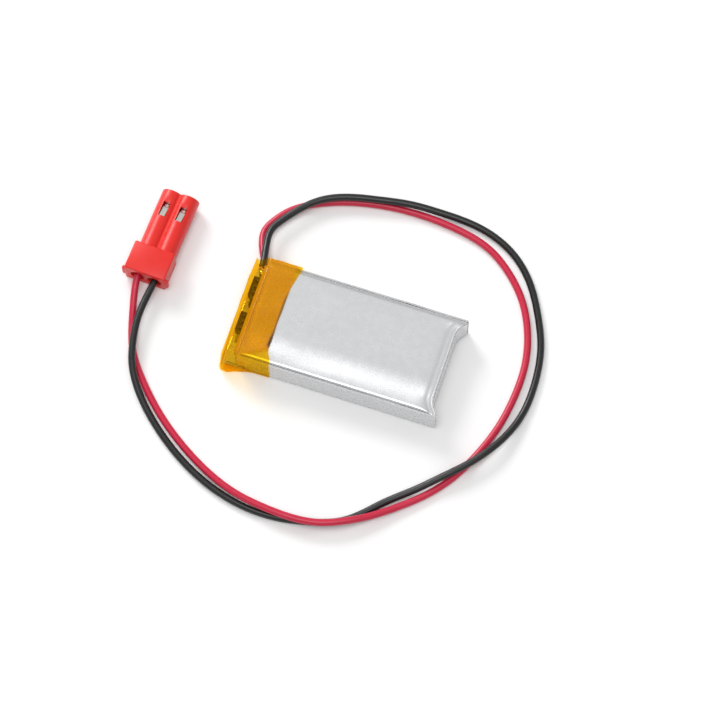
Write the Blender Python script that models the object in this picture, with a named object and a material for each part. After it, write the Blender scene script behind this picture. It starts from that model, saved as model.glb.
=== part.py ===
"""A single-cell lithium polymer battery pack with its protection board, two leads and a plug.

The origin is on the surface that the pack lies on, under the middle of the cell. X runs along the
cell from its taped end to its folded end, Y runs across it, and Z points up. Lengths are in metres.
"""

import math

import bmesh
import bpy
import numpy as np

MM = 0.001

# Pack
PACK_LENGTH = 31.0 * MM
CELL_WIDTH = 15.0 * MM
CELL_THICKNESS = 4.7 * MM
BOARD_BAY_LENGTH = 2.55 * MM
MESH_GAP = 0.02 * MM

# Pouch
LAMINATE = 0.115 * MM
SEAL_FOLD_GAP = 0.07 * MM
SEAL_FOLD_TOP_DROP = 0.5 * MM
SIDE_ROUNDING = 0.7 * MM
TAB_END_ROUNDING = 0.6 * MM
FOLDED_END_ROUNDING = 2.2 * MM
POUCH_CORNER_RADIUS = 0.8 * MM
EAR_LENGTH = 1.05 * MM
EAR_REACH = 2.1 * MM
EAR_TIP = 0.3 * MM
FOLDED_END_STEPS = 21
TERRACE_LENGTH = 2.1 * MM

# Roll of electrodes
ROLL_CLEARANCE = 0.08 * MM
ROLL_TAB_END_SPACE = 0.5 * MM
ROLL_FOLDED_END_SPACE = 2.0 * MM
ELECTRODE = 0.11 * MM
SEPARATOR = 0.03 * MM
WINDING_GAP = 0.02 * MM
ROLL_CORE_RADIUS = 0.25 * MM
SEPARATOR_MARGIN = 0.4 * MM
CLOSING_TAPE = 0.05 * MM
CLOSING_TAPE_WIDTH = 6.0 * MM

# Tabs
TAB_WIDTH = 2.0 * MM
TAB = 0.08 * MM
TAB_FILM = 0.05 * MM
TAB_FILM_MARGIN = 0.5 * MM
POSITIVE_TAB_Y = -4.6 * MM
NEGATIVE_TAB_Y = 0.9 * MM

# Board
BOARD_LENGTH = 13.2 * MM
BOARD_TOP_CLEARANCE = 0.12 * MM
BOARD = 0.6 * MM
INSULATOR = 0.1 * MM
WELD_PLATE = 0.1 * MM
WELD_PLATE_WIDTH = 2.2 * MM
WELD_PLATE_HEIGHT = 1.7 * MM
CHIP_LENGTH = 2.9 * MM
CHIP_WIDTH = 1.6 * MM
CHIP_HEIGHT = 1.05 * MM
CHIP_SPAN = 2.8 * MM
CHIP_PITCH = 0.95 * MM
CHIP_PIN_WIDTH = 0.38 * MM
CHIP_PIN = 0.15 * MM
CHIP_STAND_OFF = 0.05 * MM
CHIP_EDGE = 0.08 * MM
CHIP_PIN_ROOT = 0.3 * MM
CHIP_PIN_REACH = 0.2 * MM
RESISTOR = (0.35 * MM, 1.0 * MM, 0.5 * MM)
CAPACITOR = (0.5 * MM, 1.0 * MM, 0.5 * MM)
CHIP_PART_EDGE = 0.04 * MM
FIRST_ROW_HEIGHT = 0.4 * MM
ROW_PITCH = 0.7 * MM
CONTROLLER_Y = -1.85 * MM
SWITCH_Y = 3.65 * MM
SOLDER_LENGTH = 1.0 * MM
SOLDER_RADIUS = 0.5 * MM
SOLDER_Y = 5.8 * MM

# Tape around the board and the end of the cell
TAPE = 0.08 * MM
TAPE_CLEARANCE = 0.04 * MM
TAPE_REACH = 6.6 * MM
TAPE_SIDE_FLARE = 0.45 * MM
TAPE_CORNER = 0.16 * MM
TAPE_END_HEIGHT = 2.4 * MM
# How far along the slope each section is, and its share of the side flare
TAPE_SECTIONS = ((0.5, 0.6), (0.85, 1.0), (1.0, 0.8))
LEAD_EXIT_START = 0.25 * MM
LEAD_EXIT_END_GAP = 0.45 * MM
LEAD_EXIT_DEPTH = 0.5 * MM
LEAD_EXIT_REACH = 2.0 * MM
LEAD_EXIT_EDGE = 0.2 * MM
LEAD_EXIT_BELOW = 0.25 * MM
LEAD_EXIT_ABOVE = 0.12 * MM

# Leads
LEAD_DIAMETER = 1.0 * MM
STRANDS_DIAMETER = 0.38 * MM
STRANDS_GAP = 0.03 * MM
STRANDS_AT_BOARD = 0.45 * MM
STRIP_GAP = 0.12 * MM
STRANDS_BEND_START = 0.06 * MM
STRANDS_BEND_END = 0.42 * MM
RED_LEAD_HEIGHT = 1.45 * MM
BLACK_LEAD_HEIGHT = 2.8 * MM
LEAD_POINT_SPACING = 2.0 * MM

# Plug
PLUG_PLACE = (-29.1 * MM, 0.3 * MM)
PLUG_TURN = math.radians(-2.4)
PLUG_LENGTH = 13.2 * MM
POLE_PITCH = 2.5 * MM
BARREL_RADIUS = 1.5 * MM
POLE_HEIGHT = 1.85 * MM
BLOCK_LENGTH = 4.3 * MM
BLOCK_TOP = 3.7 * MM
BLOCK_LEFT = 3.15 * MM
BLOCK_RIGHT = 2.8 * MM
EAR_PLATE = 0.55 * MM
EAR_REACH_OUT = 0.45 * MM
EAR_PLATE_BOTTOM = 0.9 * MM
EAR_PLATE_TOP = 2.8 * MM
CAVITY_RADIUS = 1.02 * MM
MOUTH_RADIUS = 0.7 * MM
MOUTH_WALL = 0.8 * MM
WINDOW_START = 9.1 * MM
WINDOW_LENGTH = 2.2 * MM
WINDOW_WIDTH = 1.0 * MM
CONTACT_SHEET = 0.12 * MM
SOCKET_RADIUS = 0.72 * MM
LEAD_IN_PLUG = 3.3 * MM
STRANDS_IN_PLUG = 2.1 * MM
LEAD_POINTS_IN_PLUG = (0.2 * MM, 1.7 * MM, LEAD_IN_PLUG)
LANCE_RISE = 0.25 * MM
LANCE_CLEARANCE = 0.1 * MM
LANCE_END_CLEARANCE = 0.5 * MM
LANCE_SIDE_CLEARANCE = 0.12 * MM
BARREL_START = 1.0 * MM
MOUTH_CUT_START = 8.0 * MM
PLUG_EDGE = 0.18 * MM
EAR_PLATE_EDGE = 0.12 * MM
EAR_PLATE_START = 0.05 * MM
CONTACT_END_GAP = 0.15 * MM
CONTACT_STEPS_ACROSS = 18

# Places that follow from the sizes above
TAPED_END_X = -PACK_LENGTH / 2
EAR_TIP_X = PACK_LENGTH / 2
BODY_START_X = TAPED_END_X + BOARD_BAY_LENGTH
BODY_END_X = EAR_TIP_X - EAR_LENGTH
TERRACE_END_X = BODY_START_X - TERRACE_LENGTH
CELL_BOTTOM = TAPE + TAPE_CLEARANCE
CELL_TOP = CELL_BOTTOM + CELL_THICKNESS
LID_TOP = CELL_BOTTOM + LAMINATE
SEAL_HEIGHT = TAB + 2 * TAB_FILM + 4 * MESH_GAP
TERRACE_TOP = LID_TOP + SEAL_HEIGHT + LAMINATE
SEAL_FOLD_TOP = CELL_TOP - SEAL_FOLD_TOP_DROP
BODY_HALF_WIDTH = CELL_WIDTH / 2 - 2 * LAMINATE - MESH_GAP - SEAL_FOLD_GAP
INSULATOR_X = BODY_START_X - MESH_GAP
BOARD_BACK_X = INSULATOR_X - INSULATOR - MESH_GAP
BOARD_FACE_X = BOARD_BACK_X - BOARD
BOARD_BOTTOM = TERRACE_TOP + MESH_GAP
RIDGE_X = BODY_START_X - TAPE
TAPE_TOP = CELL_TOP + TAPE_CLEARANCE + TAPE
TAPE_SLOPE = (TAPE_TOP - TAPE_END_HEIGHT) / (RIDGE_X - TAPED_END_X)
BOARD_TOP = TAPE_TOP - TAPE_SLOPE * (RIDGE_X - BOARD_FACE_X) - 1.5 * TAPE - BOARD_TOP_CLEARANCE
STRANDS_X = BOARD_FACE_X - MESH_GAP - STRANDS_DIAMETER / 2 - STRANDS_GAP

# Routes of the leads, each from the board to the plug: points chosen by hand, in millimetres
RED_ROUTE = [
    (-14.4, 8.0, 1.4),
    (-15.1, 9.5, 1.15),
    (-15.8, 11.25, 0.8),
    (-16.0, 13.0, 0.5),
    (-15.25, 14.75, 0.5),
    (-13.75, 16.75, 0.5),
    (-10.5, 19.0, 0.5),
    (-6.0, 20.75, 0.5),
    (-1.0, 21.75, 0.5),
    (4.0, 22.0, 0.5),
    (9.5, 21.5, 0.5),
    (14.75, 20.0, 0.5),
    (18.0, 17.75, 0.5),
    (21.0, 14.5, 0.5),
    (23.25, 10.25, 0.5),
    (24.5, 5.25, 0.5),
    (24.5, 0.0, 0.5),
    (23.75, -4.75, 0.5),
    (22.25, -9.25, 0.5),
    (20.0, -13.75, 0.5),
    (17.0, -17.5, 0.5),
    (14.0, -20.25, 0.7),
    (11.25, -22.5, 1.1),
    (8.5, -24.25, 1.5),
    (5.0, -25.75, 1.65),
    (1.0, -26.25, 1.65),
    (-3.0, -26.0, 1.55),
    (-7.0, -25.25, 1.2),
    (-11.0, -23.75, 0.75),
    (-16.0, -21.0, 0.5),
    (-20.75, -17.5, 0.5),
    (-24.75, -13.5, 0.5),
    (-27.5, -9.75, 0.5),
    (-29.1, -5.5, 0.6),
    (-30.0, -2.0, 1.3),
]
BLACK_ROUTE = [
    (-14.4, 8.25, 2.65),
    (-14.85, 10.5, 2.25),
    (-14.9, 13.0, 1.8),
    (-14.0, 14.75, 1.65),
    (-12.75, 16.5, 1.6),
    (-10.0, 19.25, 1.6),
    (-6.25, 21.0, 1.6),
    (-2.0, 22.0, 1.5),
    (2.25, 22.75, 1.35),
    (6.25, 23.0, 1.0),
    (10.5, 23.0, 0.55),
    (14.25, 22.25, 0.5),
    (18.25, 20.25, 0.5),
    (21.5, 17.0, 0.5),
    (24.0, 12.75, 0.5),
    (25.75, 8.5, 0.5),
    (26.6, 3.0, 0.5),
    (26.4, -1.5, 0.6),
    (25.4, -5.25, 1.1),
    (23.75, -8.5, 1.55),
    (21.5, -11.5, 1.65),
    (18.75, -14.25, 1.45),
    (15.75, -17.0, 0.9),
    (12.5, -19.75, 0.5),
    (8.0, -24.0, 0.5),
    (3.5, -25.75, 0.5),
    (-2.0, -26.6, 0.5),
    (-8.0, -26.0, 0.5),
    (-14.0, -23.75, 0.5),
    (-20.4, -19.5, 0.5),
    (-24.6, -15.4, 1.0),
    (-26.75, -12.0, 1.5),
    (-27.75, -8.75, 1.6),
    (-28.25, -5.0, 1.65),
    (-28.15, -2.5, 1.7),
]


def clear_scene():
    """Removes every object of the scene."""
    for old in list(bpy.data.objects):
        bpy.data.objects.remove(old, do_unlink=True)


def finish_of(name, colour, roughness, metallic=0.0, alpha=1.0):
    """A Principled material with a plain colour."""
    material = bpy.data.materials.new(name)
    material.use_nodes = True
    shader = material.node_tree.nodes["Principled BSDF"]
    shader.inputs["Base Color"].default_value = (*colour, 1.0)
    shader.inputs["Roughness"].default_value = roughness
    shader.inputs["Metallic"].default_value = metallic
    shader.inputs["Alpha"].default_value = alpha
    return material


def add_object(name, bm, material, up_face=None):
    """Puts a bmesh into the scene as a named object with smooth shading between sharp edges.

    An open surface is turned so that up_face looks up.
    """
    bmesh.ops.recalc_face_normals(bm, faces=bm.faces)
    if up_face is not None and up_face.normal.z < 0:
        bmesh.ops.reverse_faces(bm, faces=bm.faces)
    mesh = bpy.data.meshes.new(name)
    bm.to_mesh(mesh)
    bm.free()
    mesh.shade_smooth()
    mesh.set_sharp_from_angle(angle=math.radians(35))
    mesh.materials.append(material)
    item = bpy.data.objects.new(name, mesh)
    bpy.context.scene.collection.objects.link(item)
    return item


def add_box(bm, low, high):
    """Adds a box between two corners to a bmesh."""
    made = bmesh.ops.create_cube(bm, size=1.0)
    size = [b - a for a, b in zip(low, high)]
    middle = [(a + b) / 2 for a, b in zip(low, high)]
    bmesh.ops.scale(bm, vec=size, verts=made["verts"])
    bmesh.ops.translate(bm, vec=middle, verts=made["verts"])
    return made["verts"]


def box(name, low, high, material, bevel=0.0):
    """A named box, with its edges bevelled where a width is given."""
    bm = bmesh.new()
    add_box(bm, low, high)
    if bevel:
        bmesh.ops.bevel(bm, geom=bm.edges[:], offset=bevel, segments=2, profile=0.5, affect="EDGES")
    return add_object(name, bm, material)


def cylinder_along_y(name, x, z, start, end, radius, material, sides=24):
    """A named cylinder whose axis runs along Y."""
    bm = bmesh.new()
    made = bmesh.ops.create_cone(
        bm, cap_ends=True, segments=sides, radius1=radius, radius2=radius, depth=end - start
    )
    turn = np.array([[1, 0, 0], [0, 0, 1], [0, -1, 0]])
    for vert in made["verts"]:
        vert.co = turn @ np.array(vert.co) + np.array([x, (start + end) / 2, z])
    return add_object(name, bm, material)


def add_boolean(item, other, operation):
    """Joins or cuts an object with a helper object that isn't part of the model."""
    other.hide_render = True
    other.display_type = "WIRE"
    modifier = item.modifiers.new(f"{operation} {other.name}", "BOOLEAN")
    modifier.operation = operation
    modifier.object = other
    modifier.solver = "EXACT"


def add_wall(item, thickness, outwards=False):
    """Gives a surface its thickness, inwards from its normals unless told otherwise."""
    wall = item.modifiers.new("Wall", "SOLIDIFY")
    wall.thickness = thickness
    wall.offset = 1.0 if outwards else -1.0
    wall.use_even_offset = True


def arc(centre, radius, start, end, steps):
    """Points on an arc in a plane, angles in degrees."""
    angles = np.radians(np.linspace(start, end, steps + 1))
    return [(centre[0] + radius * math.cos(a), centre[1] + radius * math.sin(a)) for a in angles]


def ribbon(name, path, thickness, low_y, high_y, material):
    """A flat strip that follows a path in the XZ plane and runs from low_y to high_y."""
    points = np.array(path)
    steps = np.diff(points, axis=0)
    steps /= np.linalg.norm(steps, axis=1)[:, None]
    before = np.vstack([steps[:1], steps])
    after = np.vstack([steps, steps[-1:]])
    normals = np.stack([-(before + after)[:, 1], (before + after)[:, 0]], axis=1)
    normals /= np.linalg.norm(normals, axis=1)[:, None]
    straight = np.stack([-before[:, 1], before[:, 0]], axis=1)
    reach = thickness / 2 / np.sum(normals * straight, axis=1)[:, None]
    sides = [points + normals * reach, points - normals * reach]
    bm = bmesh.new()
    rows = [[bm.verts.new((x, low_y, z)) for x, z in side] for side in sides]
    faces = [
        bm.faces.new((rows[0][i], rows[0][i + 1], rows[1][i + 1], rows[1][i]))
        for i in range(len(points) - 1)
    ]
    extruded = bmesh.ops.extrude_face_region(bm, geom=faces)
    moved = [v for v in extruded["geom"] if isinstance(v, bmesh.types.BMVert)]
    bmesh.ops.translate(bm, vec=(0, high_y - low_y, 0), verts=moved)
    return add_object(name, bm, material)


def folded_end(half_width, inset):
    """The folded end of the pouch in plan: straight, with an ear drawn out at each corner."""
    reach = half_width - EAR_TIP
    outline = [(EAR_TIP_X - inset, -half_width)]
    for y in np.linspace(-reach, reach, FOLDED_END_STEPS):
        into_ear = max(0.0, abs(y) - (reach - EAR_REACH)) / EAR_REACH
        outline.append((BODY_END_X + EAR_LENGTH * into_ear**2 - inset, y))
    outline.append((EAR_TIP_X - inset, half_width))
    return outline


def pouch_outline(side_inset, tab_inset, folded_inset):
    """The plan of the pouch body, each side moved inwards by its own distance."""
    half = BODY_HALF_WIDTH - side_inset
    start_x = BODY_START_X + tab_inset
    radius = POUCH_CORNER_RADIUS
    outline = arc((start_x + radius, half - radius), radius, 90, 180, 4)
    outline += arc((start_x + radius, -half + radius), radius, 180, 270, 4)
    return outline + folded_end(half, folded_inset)


def pouch_drawn_half(material):
    """The deep-drawn sheet: top, walls, seal terrace and the side seals folded up."""
    bm = bmesh.new()
    rings = []
    levels = [(TERRACE_TOP, 0.0)]
    levels += [(None, angle) for angle in np.radians([0, 25, 50, 72, 90])]
    for height, angle in levels:
        rounding = 1 - math.cos(angle)
        if height is None:
            height = CELL_TOP - SIDE_ROUNDING * (1 - math.sin(angle))
        plan = pouch_outline(
            SIDE_ROUNDING * rounding, TAB_END_ROUNDING * rounding, FOLDED_END_ROUNDING * rounding
        )
        rings.append([bm.verts.new((x, y, height)) for x, y in plan])
    for lower, upper in zip(rings, rings[1:]):
        for i in range(len(lower)):
            j = (i + 1) % len(lower)
            bm.faces.new((lower[i], lower[j], upper[j], upper[i]))
    top = bm.faces.new(rings[-1])
    rim = [edge for edge in bm.edges if edge.is_boundary]

    def grow(edges, move):
        made = bmesh.ops.extrude_edge_only(bm, edges=edges)["geom"]
        verts = [part for part in made if isinstance(part, bmesh.types.BMVert)]
        bmesh.ops.translate(bm, vec=move, verts=verts)
        return [part for part in made if isinstance(part, bmesh.types.BMEdge) and part.is_boundary]

    def level(edge):
        return abs(edge.verts[0].co.z - edge.verts[1].co.z) < MESH_GAP

    for side in (-1, 1):
        near = [e for e in rim if all(v.co.y * side > BODY_HALF_WIDTH - MESH_GAP for v in e.verts)]
        foot = grow(near, (0, side * SEAL_FOLD_GAP, 0))
        outer = [e for e in foot if abs(e.verts[0].co.y - e.verts[1].co.y) < MESH_GAP / 10 and level(e)]
        outer = [e for e in outer if abs(e.verts[0].co.x - e.verts[1].co.x) > MESH_GAP]
        grow(outer, (0, 0, SEAL_FOLD_TOP - TERRACE_TOP))
    tab_side = [e for e in rim if all(v.co.x < BODY_START_X + MESH_GAP / 10 for v in e.verts)]
    grow(tab_side, (-TERRACE_LENGTH, 0, 0))
    between_ears = [e for e in rim if all(abs(v.co.y) < BODY_HALF_WIDTH - MESH_GAP for v in e.verts)]
    folded = [e for e in between_ears if all(v.co.x > BODY_END_X - MESH_GAP for v in e.verts)]
    grow(folded, (0, 0, LID_TOP + MESH_GAP - TERRACE_TOP))
    item = add_object("pouch_drawn_half", bm, material, up_face=top)
    add_wall(item, LAMINATE)
    return item


def pouch_flat_half(material):
    """The flat sheet under the cell, with its side seals folded up outside the drawn half's."""
    half = CELL_WIDTH / 2
    narrow = BODY_HALF_WIDTH - POUCH_CORNER_RADIUS
    fold_start = BODY_START_X + POUCH_CORNER_RADIUS
    outline = [(fold_start, half), (fold_start, narrow), (TERRACE_END_X, narrow)]
    outline += [(TERRACE_END_X, -narrow), (fold_start, -narrow), (fold_start, -half)]
    outline += folded_end(half, 0.0)
    bm = bmesh.new()
    base = bm.faces.new([bm.verts.new((x, y, CELL_BOTTOM)) for x, y in outline])
    base.normal_update()
    if base.normal.z > 0:
        base.normal_flip()
    sides = [e for e in bm.edges if all(abs(v.co.y) > half - MESH_GAP / 10 for v in e.verts)]
    for edge in sides:
        made = bmesh.ops.extrude_edge_only(bm, edges=[edge])["geom"]
        verts = [part for part in made if isinstance(part, bmesh.types.BMVert)]
        bmesh.ops.translate(bm, vec=(0, 0, SEAL_FOLD_TOP - CELL_BOTTOM), verts=verts)
    item = add_object("pouch_flat_half", bm, material)
    add_wall(item, LAMINATE)
    return item


def roll_sizes():
    """The radius of the roll's sides, its flat half-length and the height of its middle."""
    top = CELL_TOP - LAMINATE - ROLL_CLEARANCE - CLOSING_TAPE - MESH_GAP
    bottom = LID_TOP + ROLL_CLEARANCE
    radius = (top - bottom) / 2
    flat = BODY_HALF_WIDTH - LAMINATE - ROLL_CLEARANCE - radius
    return radius, flat, (top + bottom) / 2


def winding_path(offset, pitch, half_turns, flat, middle):
    """Points of one flattened spiral in the YZ plane, from the core outwards."""
    path = []
    for turn in range(half_turns):
        radius = ROLL_CORE_RADIUS + offset + turn * pitch / 2
        side = 1 if turn % 2 == 0 else -1
        height = middle if side > 0 else middle + pitch / 2
        angles = (90, -90) if side > 0 else (270, 90)
        path += arc((side * flat, height), radius, *angles, 8)
    return path


def wound_strip(name, offset, thickness, margin, pitch, half_turns, material):
    """One strip of the roll: a spiral of sheet that runs the length of the cell."""
    _, flat, middle = roll_sizes()
    start_x = BODY_START_X + ROLL_TAB_END_SPACE + margin
    end_x = BODY_END_X - ROLL_FOLDED_END_SPACE - margin
    points = np.array(winding_path(offset, pitch, half_turns, flat, middle))
    steps = np.diff(points, axis=0)
    steps /= np.linalg.norm(steps, axis=1)[:, None]
    before = np.vstack([steps[:1], steps])
    after = np.vstack([steps, steps[-1:]])
    normals = np.stack([-(before + after)[:, 1], (before + after)[:, 0]], axis=1)
    normals /= np.linalg.norm(normals, axis=1)[:, None]
    bm = bmesh.new()
    rows = [
        [bm.verts.new((start_x, y, z)) for y, z in points + normals * side * thickness / 2]
        for side in (1, -1)
    ]
    faces = [
        bm.faces.new((rows[0][i], rows[0][i + 1], rows[1][i + 1], rows[1][i]))
        for i in range(len(points) - 1)
    ]
    extruded = bmesh.ops.extrude_face_region(bm, geom=faces)
    moved = [v for v in extruded["geom"] if isinstance(v, bmesh.types.BMVert)]
    bmesh.ops.translate(bm, vec=(end_x - start_x, 0, 0), verts=moved)
    return add_object(name, bm, material)


def electrode_roll(finishes):
    """The wound strips of the cell and the tape that closes them."""
    layers = [
        ("cathode_strip", ELECTRODE, SEPARATOR_MARGIN, "cathode"),
        ("separator_inner", SEPARATOR, 0.0, "separator"),
        ("anode_strip", ELECTRODE, SEPARATOR_MARGIN / 2, "anode"),
        ("separator_outer", SEPARATOR, 0.0, "separator"),
    ]
    radius, flat, middle = roll_sizes()
    pitch = sum(thickness + WINDING_GAP for _, thickness, _, _ in layers)
    turns = int((radius - ROLL_CORE_RADIUS - pitch) / pitch)
    half_turns = 1 + 2 * turns
    offset = 0.0
    for name, thickness, margin, finish in layers:
        middle_of_strip = offset + thickness / 2
        wound_strip(name, middle_of_strip, thickness, margin, pitch, half_turns, finishes[finish])
        offset += thickness + WINDING_GAP
    start_x = BODY_START_X + ROLL_TAB_END_SPACE + SEPARATOR_MARGIN
    end_x = BODY_END_X - ROLL_FOLDED_END_SPACE - SEPARATOR_MARGIN
    tape_bottom = middle + ROLL_CORE_RADIUS + (1 + turns) * pitch
    box(
        "roll_closing_tape",
        (start_x, -CLOSING_TAPE_WIDTH / 2, tape_bottom),
        (end_x, CLOSING_TAPE_WIDTH / 2, tape_bottom + CLOSING_TAPE),
        finishes["closing_tape"],
    )


def tab(name, y, material):
    """A cell tab: out of the roll, through the seal, back over the terrace and up the board."""
    seal_z = LID_TOP + SEAL_HEIGHT / 2
    inner_x = BODY_START_X + ROLL_TAB_END_SPACE - TAB
    turn_radius = (TERRACE_TOP + MESH_GAP + TAB / 2 - seal_z) / 2
    turn_x = TERRACE_END_X - MESH_GAP
    face_x = BOARD_FACE_X - WELD_PLATE - 2 * MESH_GAP - TAB / 2
    path = [(inner_x, LID_TOP + CELL_THICKNESS / 2), (inner_x, seal_z + TAB), (inner_x - TAB, seal_z)]
    path += arc((turn_x, seal_z + turn_radius), turn_radius, 270, 90, 6)
    weld_top = BOARD_BOTTOM + TAB + WELD_PLATE_HEIGHT
    path += [(face_x - TAB, seal_z + 2 * turn_radius), (face_x, seal_z + 2 * turn_radius + TAB)]
    path += [(face_x, weld_top)]
    return ribbon(name, path, TAB, y - TAB_WIDTH / 2, y + TAB_WIDTH / 2, material)


def tab_seal(name, y, material):
    """The polymer film around a tab where the pouch is sealed over it."""
    seal_z = LID_TOP + SEAL_HEIGHT / 2
    half = TAB_WIDTH / 2 + TAB_FILM_MARGIN
    reach = TAB / 2 + MESH_GAP + TAB_FILM
    start_x = TERRACE_END_X + MESH_GAP
    end_x = BODY_START_X + LAMINATE
    bm = bmesh.new()
    add_box(bm, (start_x, y - half, seal_z - reach), (end_x, y + half, seal_z + reach))
    film = add_object(name, bm, material)
    cutter = box(
        f"{name}_slot",
        (start_x - TAB, y - TAB_WIDTH / 2 - MESH_GAP, seal_z - TAB / 2 - MESH_GAP),
        (end_x + TAB, y + TAB_WIDTH / 2 + MESH_GAP, seal_z + TAB / 2 + MESH_GAP),
        material,
    )
    add_boolean(film, cutter, "DIFFERENCE")
    return film


def chip(name, y, z, material):
    """A small moulded chip on the board with three pins above and three below."""
    body_low_x = BOARD_FACE_X - MESH_GAP - CHIP_STAND_OFF - CHIP_HEIGHT
    body_high_x = BOARD_FACE_X - MESH_GAP - CHIP_STAND_OFF
    half_y = CHIP_LENGTH / 2
    half_z = CHIP_WIDTH / 2
    body = box(
        name,
        (body_low_x, y - half_y, z - half_z),
        (body_high_x, y + half_y, z + half_z),
        material,
        bevel=CHIP_EDGE,
    )
    knee_x = BOARD_FACE_X - MESH_GAP - CHIP_HEIGHT / 2
    foot_x = BOARD_FACE_X - MESH_GAP - CHIP_PIN / 2
    toe = CHIP_SPAN / 2
    for side in (-1, 1):
        for step in (-1, 0, 1):
            middle = y + step * CHIP_PITCH
            path = [
                (knee_x, z + side * (half_z - CHIP_PIN_ROOT)),
                (knee_x, z + side * (half_z + CHIP_PIN_REACH)),
                (foot_x, z + side * (half_z + 2 * CHIP_PIN)),
                (foot_x, z + side * toe),
            ]
            pin = ribbon(
                f"{name}_pin_{side}_{step}",
                path,
                CHIP_PIN,
                middle - CHIP_PIN_WIDTH / 2,
                middle + CHIP_PIN_WIDTH / 2,
                material,
            )
            add_boolean(body, pin, "UNION")
    return body


def on_board(name, y, z, size, material, bevel=0.0):
    """A flat piece on the board's outer face, with its middle at y and z."""
    depth, length, height = size
    face = BOARD_FACE_X - MESH_GAP
    return box(
        name,
        (face - depth, y - length / 2, z - height / 2),
        (face, y + length / 2, z + height / 2),
        material,
        bevel,
    )


def solder_joint(name, z, material):
    """A dome of solder on the board, with room for the strands that it holds."""
    bm = bmesh.new()
    made = bmesh.ops.create_uvsphere(bm, u_segments=20, v_segments=12, radius=1.0)
    squeeze = (SOLDER_RADIUS * 1.1, SOLDER_LENGTH / 2, SOLDER_RADIUS)
    bmesh.ops.scale(bm, vec=squeeze, verts=made["verts"])
    middle = (BOARD_FACE_X - MESH_GAP - STRANDS_DIAMETER / 2, SOLDER_Y, z)
    bmesh.ops.translate(bm, vec=middle, verts=made["verts"])
    dome = add_object(name, bm, material)
    face = BOARD_FACE_X - MESH_GAP
    back = box(
        f"{name}_board_side",
        (face, SOLDER_Y - SOLDER_LENGTH, z - 2 * SOLDER_RADIUS),
        (face + 2 * SOLDER_RADIUS, SOLDER_Y + SOLDER_LENGTH, z + 2 * SOLDER_RADIUS),
        material,
    )
    bore = cylinder_along_y(
        f"{name}_bore",
        STRANDS_X,
        z,
        SOLDER_Y - SOLDER_LENGTH / 4,
        SOLDER_Y + SOLDER_LENGTH,
        STRANDS_DIAMETER / 2 + MESH_GAP,
        material,
        sides=12,
    )
    add_boolean(dome, back, "DIFFERENCE")
    add_boolean(dome, bore, "DIFFERENCE")
    return dome


def protection_board(finishes):
    """The board that stands on the terrace and all that is soldered to it."""
    half = BOARD_LENGTH / 2
    chip_z = BOARD_BOTTOM + MESH_GAP + CHIP_SPAN / 2
    above_plates = BOARD_BOTTOM + WELD_PLATE_HEIGHT
    box(
        "circuit_board",
        (BOARD_FACE_X, -half, BOARD_BOTTOM),
        (BOARD_BACK_X, half, BOARD_TOP),
        finishes["board"],
    )
    box(
        "board_insulator",
        (INSULATOR_X - INSULATOR, -half, BOARD_BOTTOM),
        (INSULATOR_X, half, BOARD_TOP - INSULATOR),
        finishes["insulator"],
    )
    chip("protection_chip", CONTROLLER_Y, chip_z, finishes["chip"])
    chip("switch_chip", SWITCH_Y, chip_z, finishes["chip"])
    plate = (WELD_PLATE, WELD_PLATE_WIDTH, WELD_PLATE_HEIGHT)
    plate_z = BOARD_BOTTOM + TAB + WELD_PLATE_HEIGHT / 2
    on_board("positive_weld_plate", POSITIVE_TAB_Y, plate_z, plate, finishes["nickel"])
    on_board("negative_weld_plate", NEGATIVE_TAB_Y, plate_z, plate, finishes["nickel"])
    first_row = above_plates + FIRST_ROW_HEIGHT
    rows = [
        ("supply_resistor", NEGATIVE_TAB_Y, first_row, RESISTOR, "chip"),
        ("sense_resistor", NEGATIVE_TAB_Y, first_row + ROW_PITCH, RESISTOR, "chip"),
        ("filter_capacitor", POSITIVE_TAB_Y, first_row + ROW_PITCH / 2, CAPACITOR, "capacitor"),
    ]
    for name, y, z, size, finish in rows:
        on_board(name, y, z, size, finishes[finish], CHIP_PART_EDGE)
    solder_joint("positive_solder_joint", RED_LEAD_HEIGHT, finishes["solder"])
    solder_joint("negative_solder_joint", BLACK_LEAD_HEIGHT, finishes["solder"])


def tape_section(x, half_width, top, corner):
    """A rounded rectangle across the pack at one place along it."""
    outline = arc((half_width - corner, top - corner), corner, 0, 90, 3)
    outline += arc((-half_width + corner, top - corner), corner, 90, 180, 3)
    outline += arc((-half_width + corner, corner), corner, 180, 270, 3)
    outline += arc((half_width - corner, corner), corner, 270, 360, 3)
    return [(x, y, z) for y, z in outline]


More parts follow.
